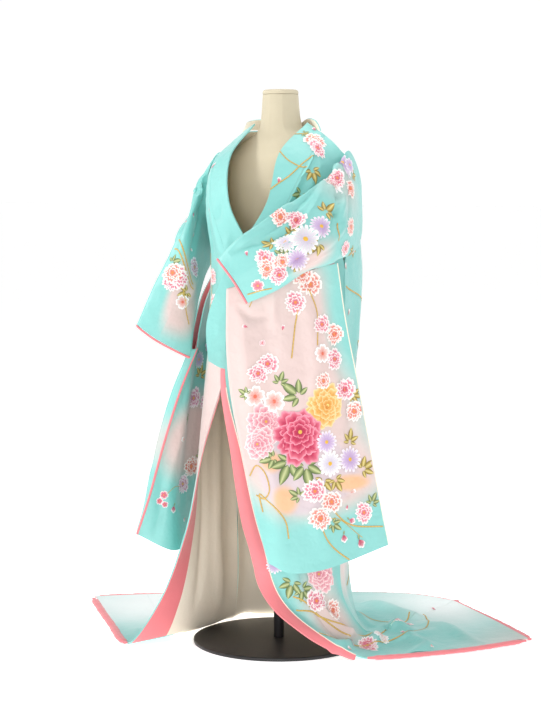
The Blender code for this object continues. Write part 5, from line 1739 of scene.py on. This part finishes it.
def right_sleeve(materials: Materials) -> Sleeve:
    """The sleeve that hangs at the side, with its flowers."""
    return Sleeve(
        "right", RIGHT_ARM, RIGHT_BAG,
        arm_hazes=(Haze(0, 4.4, .45, 1.5, PINK, .6), Haze(4.0, 4.4, 1.1, 1.6, PINK, .5)),
        arm_creases=(
            Crease(((.2, .8), (.4, 1.8), (.3, 2.9)), .012, .0105),
            Crease(((3.8, 1.0), (3.7, 2.0), (3.8, 3.2)), .012, -.009),
            Crease(((.9, 1.4), (.8, 2.6), (.7, 3.9)), .014, -.0105),
            Crease(((1.3, .9), (1.3, 2.1), (1.1, 3.3)), .014, .012),
            Crease(((2.2, 1.0), (2.3, 2.2), (2.2, 3.4)), .014, .0105),
            Crease(((3.4, 3.0), (3.6, 3.9), (3.8, 4.7)), .010, .0075)),
        arm_spots=(
            Spot(Motif.LEAVES, Dye.LEAF, .62, 3.85, .040, 120),
            Spot(Motif.LEAVES, Dye.OLIVE, 3.75, 4.0, .040, 290),
            Spot(Motif.DOUBLE, Dye.ROSE, .20, 3.95, .064, 0),
            Spot(Motif.DOUBLE, Dye.SALMON, .45, 4.05, .060, 30),
            Spot(Motif.DOUBLE, Dye.ROSE, .36, 4.35, .050, 60),
            Spot(Motif.BLOSSOM, Dye.SNOW, 3.80, 4.45, .042, 20),
            Spot(Motif.DOUBLE, Dye.MAUVE, 3.60, 3.05, .056, 0),
            Spot(Motif.PETAL, Dye.SNOW, 3.75, 2.4, .020, 70),
            Spot(Motif.PETAL, Dye.SNOW, 3.96, 1.15, .016, 40),
            Spot(Motif.PETAL, Dye.ROSE, 3.7, 1.0, .013, 80),
            Spot(Motif.PETAL, Dye.ROSE, .2, 2.2, .014, 200),
            Spot(Motif.PETAL, Dye.ROSE, .85, 2.6, .014, 240),
            Spot(Motif.PETAL, Dye.SNOW, 3.8, 2.8, .016, 140),
            Spot(Motif.PETAL, Dye.ROSE, 3.7, 3.1, .014, 190),
            Spot(Motif.DOUBLE, Dye.SALMON, 1.8, 2.0, .06, 0),
            Spot(Motif.DOUBLE, Dye.ROSE, 1.5, 2.7, .06, 40),
            Spot(Motif.DAISY, Dye.LILAC, 2.2, 2.8, .06, 0),
            Spot(Motif.DOUBLE, Dye.ROSE, 2.5, 1.5, .05, 30)),
        arm_cords=(
            Cord(((.8, 3.2), (.4, 3.15), (.0, 3.3), (-.4, 3.6)), .003),
            Cord(((.8, 3.5), (.4, 3.4), (.0, 3.55), (-.4, 3.75)), .003),
            Cord(((-.05, 4.0), (-.3, 4.4), (-.6, 4.8)), .003)),
        bag_hazes=(Haze(1.5, 1.95, 2.2, .85, PINK, .55), Haze(2.6, .1, 1.4, .5, PINK, .8, .6)),
        bag_creases=(
            Crease(((.6, .6), (.7, 1.8), (.6, 3.0)), .020, .009),
            Crease(((1.5, .4), (1.4, 1.8), (1.5, 3.2)), .022, -.009),
            Crease(((2.3, .6), (2.3, 1.9), (2.2, 3.2)), .020, .009),
            Crease(((.3, 2.4), (.5, 3.2), (.4, 3.9)), .014, -.0075)),
        bag_spots=(
            Spot(Motif.LEAVES, Dye.OLIVE, 1.85, 1.05, .046, 60),
            Spot(Motif.LEAVES, Dye.LEAF, 1.1, 1.55, .036, 250),
            Spot(Motif.DAISY, Dye.LILAC, 1.65, .78, .050, 0),
            Spot(Motif.DAISY, Dye.LILAC, 2.3, .72, .044, 10),
            Spot(Motif.DOUBLE, Dye.MAUVE, 1.58, 1.34, .064, 0),
            Spot(Motif.DOUBLE, Dye.MAUVE, 2.30, 1.46, .058, 40),
            Spot(Motif.PETAL, Dye.SNOW, .98, 1.92, .024, 170),
            Spot(Motif.DOUBLE, Dye.SALMON, 1.82, 2.44, .064, 20),
            Spot(Motif.DOUBLE, Dye.MAUVE, 1.55, 2.72, .060, 60),
            Spot(Motif.LEAVES, Dye.LEAF, 2.2, 2.3, .04, 60),
            Spot(Motif.DOUBLE, Dye.ROSE, 2.45, 2.1, .060, 0),
            Spot(Motif.BLOSSOM, Dye.ROSE, .55, 2.86, .026, 0),
            Spot(Motif.BLOSSOM, Dye.ROSE, .42, 2.98, .022, 20),
            Spot(Motif.BLOSSOM, Dye.ROSE, .66, 3.02, .020, 40),
            Spot(Motif.BUD, Dye.ROSE, 1.05, 3.04, .020, 260),
            Spot(Motif.PETAL, Dye.SNOW, 1.7, 3.4, .018, 200)),
        bag_cords=(Cord(((.6, 2.86), (.95, 2.72), (1.4, 2.74)), .0014),
            Cord(((2.9, .5), (2.6, 1.0), (2.9, 1.7)), .0026)),
        far_spots=(
            Spot(Motif.LEAVES, Dye.LEAF, 1.5, 2.4, .08, 240),
            Spot(Motif.PEONY, Dye.BLUSH, 1.3, 1.3, .11, 0),
            Spot(Motif.PEONY, Dye.CRIMSON, 1.6, 1.9, .12, 60),
            Spot(Motif.DOUBLE, Dye.ROSE, .8, 1.9, .07, 0),
            Spot(Motif.DOUBLE, Dye.SALMON, 1.9, 1.2, .07, 30),
            Spot(Motif.DOUBLE, Dye.ROSE, 1.1, 2.6, .07, 0),
            Spot(Motif.BLOSSOM, Dye.SNOW, 2.2, 2.5, .06, 20),
            Spot(Motif.PETAL, Dye.ROSE, 1.6, 3.2, .02, 0)),
        far_cords=(Cord(((.3, .6), (1.0, 1.0), (.6, 1.8), (1.0, 2.8), (2.4, 3.2)), .0032),),
        bag_flat=(.50, .72),
        coral_fold=True,
        materials=materials)


class DressForm:
    """The limbless linen torso, its cap, the pole and the base plate."""

    SIDES = 96
    SEAM_WIDTH = 0.05        # radians

    def __init__(self, materials: Materials) -> None:
        """Args:
            materials: the finishes.
        """
        self.materials = materials

    def turned(self, rows: Sequence[FormRow], steps: int, seams: Sequence[float] = ()) -> Skin:
        """A closed turned body.

        Args:
            rows: its heights.
            steps: rings between two rows; 1 keeps straight sides.
            seams: directions, in degrees, of its raised seams.

        Returns:
            Its skin.
        """
        table = np.array(rows, float)
        if steps > 1:
            knots = np.arange(len(rows), dtype=float)
            table = smooth_rows(table, knots,
                                np.linspace(0, knots[-1], steps * (len(rows) - 1) + 1))
        turns = np.arange(self.SIDES) * math.tau / self.SIDES
        ridge = np.zeros(self.SIDES)
        for seam in seams:
            gap = np.angle(np.exp(1j * (turns - math.radians(seam))))
            ridge += .0012 * np.exp(-(gap / self.SEAM_WIDTH) ** 2)
        points = np.stack([table[:, 1:2] + (table[:, 3:4] + ridge) * np.cos(turns),
                           table[:, 2:3] + (table[:, 4:5] + ridge) * np.sin(turns),
                           np.broadcast_to(table[:, :1], (len(table), self.SIDES))], axis=2)
        rows_made = len(points)
        faces: list[tuple[int, ...]] = []
        for r in range(rows_made - 1):
            for c in range(self.SIDES):
                n = (c + 1) % self.SIDES
                faces.append((r * self.SIDES + c, r * self.SIDES + n, (r + 1) * self.SIDES + n,
                              (r + 1) * self.SIDES + c))
        faces.append(tuple(range(self.SIDES))[::-1])
        faces.append(tuple((rows_made - 1) * self.SIDES + c for c in range(self.SIDES)))
        flat = flat_places(points).reshape(-1, 3)
        everywhere = points.reshape(-1, 3)
        return Skin(everywhere, faces, np.ones((len(everywhere), 3)), flat)

    def build(self) -> None:
        """Builds the four pieces of the stand."""
        torso = self.turned(TORSO, 8, (-90, 90, -50, -130, 50, 130))
        finish_piece(torso.build("linen_torso", [self.materials.linen]), ["form_torso"])
        cap = [FormRow(1.4884, .006, -.002, .0445, .0435),
               FormRow(1.4890, .006, -.002, .0470, .0460),
               FormRow(1.4905, .006, -.002, .0482, .0472),
               FormRow(1.4945, .006, -.002, .0482, .0472),
               FormRow(1.4985, .006, -.002, .0465, .0455),
               FormRow(1.5010, .006, -.002, .0420, .0410),
               FormRow(1.5018, .006, -.002, .0330, .0320)]
        finish_piece(self.turned(cap, 3).build("linen_cap", [self.materials.linen]),
                     ["form_cap"])
        pole = [FormRow(.0104, 0, 0, .0138, .0138), FormRow(.0110, 0, 0, .0140, .0140),
                FormRow(.8290, 0, 0, .0140, .0140), FormRow(.8296, 0, 0, .0138, .0138)]
        finish_piece(self.turned(pole, 1).build("steel_pole", [self.materials.powder]),
                     ["form_pole"])
        base = [FormRow(0, 0, 0, .2330, .2330), FormRow(.0008, 0, 0, .2345, .2345),
                FormRow(.0050, 0, 0, .2350, .2350),
                FormRow(.0078, 0, 0, .2345, .2345), FormRow(.0094, 0, 0, .2325, .2325),
                FormRow(.0100, 0, 0, .2290, .2290)]
        finish_piece(self.turned(base, 1).build("steel_base", [self.materials.powder], 30),
                     ["form_base"])


class Studio:
    """A white floor and room, soft lights and the camera."""

    def build(self) -> None:
        """Sets the stage."""
        scene = bpy.context.scene
        scene.view_settings.view_transform = "Standard"
        self.floor()
        self.lights()
        self.camera()

    def floor(self) -> None:
        """The wide pale floor, which meets the white room far away."""
        mesh = bpy.data.meshes.new("floor")
        mesh.from_pydata([(x * STUDIO_REACH, y * STUDIO_REACH, 0)
                          for x, y in ((-1, -1), (1, -1), (1, 1), (-1, 1))], [], [(0, 1, 2, 3)])
        paper = bpy.data.materials.new("white paper floor")
        paper.use_nodes = True
        shader = paper.node_tree.nodes["Principled BSDF"]
        shader.inputs["Base Color"].default_value = (*linear("#FCFBFB"), 1)
        shader.inputs["Roughness"].default_value = .7
        # the floor gives off some light of its own, so that it stays white far behind
        shader.inputs["Emission Color"].default_value = (1, 1, 1, 1)
        shader.inputs["Emission Strength"].default_value = FLOOR_GLOW
        mesh.materials.append(paper)
        floor = bpy.data.objects.new("floor", mesh)
        bpy.context.scene.collection.objects.link(floor)

    def lights(self) -> None:
        """A bright even room with a large soft key from the upper left."""
        world = bpy.data.worlds.new("studio")
        world.use_nodes = True
        tree = world.node_tree
        background = tree.nodes["Background"]
        background.inputs["Color"].default_value = (1, 1, 1, 1)
        # white walls and a dimmer ceiling, so that the key still shapes the folds
        direction = add_node(tree, "ShaderNodeTexCoord")
        split = add_node(tree, "ShaderNodeSeparateXYZ",
                         links={"Vector": direction.outputs["Generated"]})
        ceiling = add_node(tree, "ShaderNodeMapRange",
                           {"From Min": .25, "From Max": .45,
                            "To Min": WALL_LIGHT, "To Max": CEILING_LIGHT},
                           {"Value": split.outputs["Z"]})
        tree.links.new(ceiling.outputs["Result"], background.inputs["Strength"])
        bpy.context.scene.world = world
        for name, place, size, power, target in (
                ("key", (-2.6, -2.6, 3.4), 1.0, 92, (0, 0, .8)),
                ("fill", (1.9, -3.9, .9), 1.6, 40, (-.1, 0, .45)),
                ("top", (.6, .8, 4.2), 3.4, 90, (.2, .3, 0))):
            light = bpy.data.lights.new(name, "AREA")
            light.size = size
            light.energy = power
            lamp = bpy.data.objects.new(name, light)
            lamp.location = place
            aim = np.array(target) - np.array(place)
            lamp.rotation_euler = (math.atan2(math.hypot(aim[0], aim[1]), -aim[2]), 0,
                                   math.atan2(aim[1], aim[0]) - math.pi / 2)
            bpy.context.scene.collection.objects.link(lamp)

    def camera(self) -> None:
        """A long lens at chest height, in front and to the wearer's left."""
        facing, pitch = math.radians(35), math.radians(5.43)
        distance, height, shift = 5.0, 1.25, 0.023
        data = bpy.data.cameras.new("camera")
        data.sensor_fit = "VERTICAL"
        data.sensor_height = 36
        data.lens = 92.5
        camera = bpy.data.objects.new("camera", data)
        camera.location = (distance * math.sin(facing) - shift * math.cos(facing),
                           -distance * math.cos(facing) - shift * math.sin(facing), height)
        camera.rotation_euler = (math.pi / 2 - pitch, 0, facing)
        bpy.context.scene.collection.objects.link(camera)
        bpy.context.scene.camera = camera


def main() -> None:
    """Builds the kimono, its form and the studio."""
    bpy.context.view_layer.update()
    materials = Materials(SATIN.make(), YUZEN.make(), CORAL.make(), CREAM.make(), LINEN.make(),
                          POWDER.make())
    Body(materials).build()
    left_sleeve(materials).build()
    right_sleeve(materials).build()
    DressForm(materials).build()
    Studio().build()


if __name__ == "__main__":
    main()
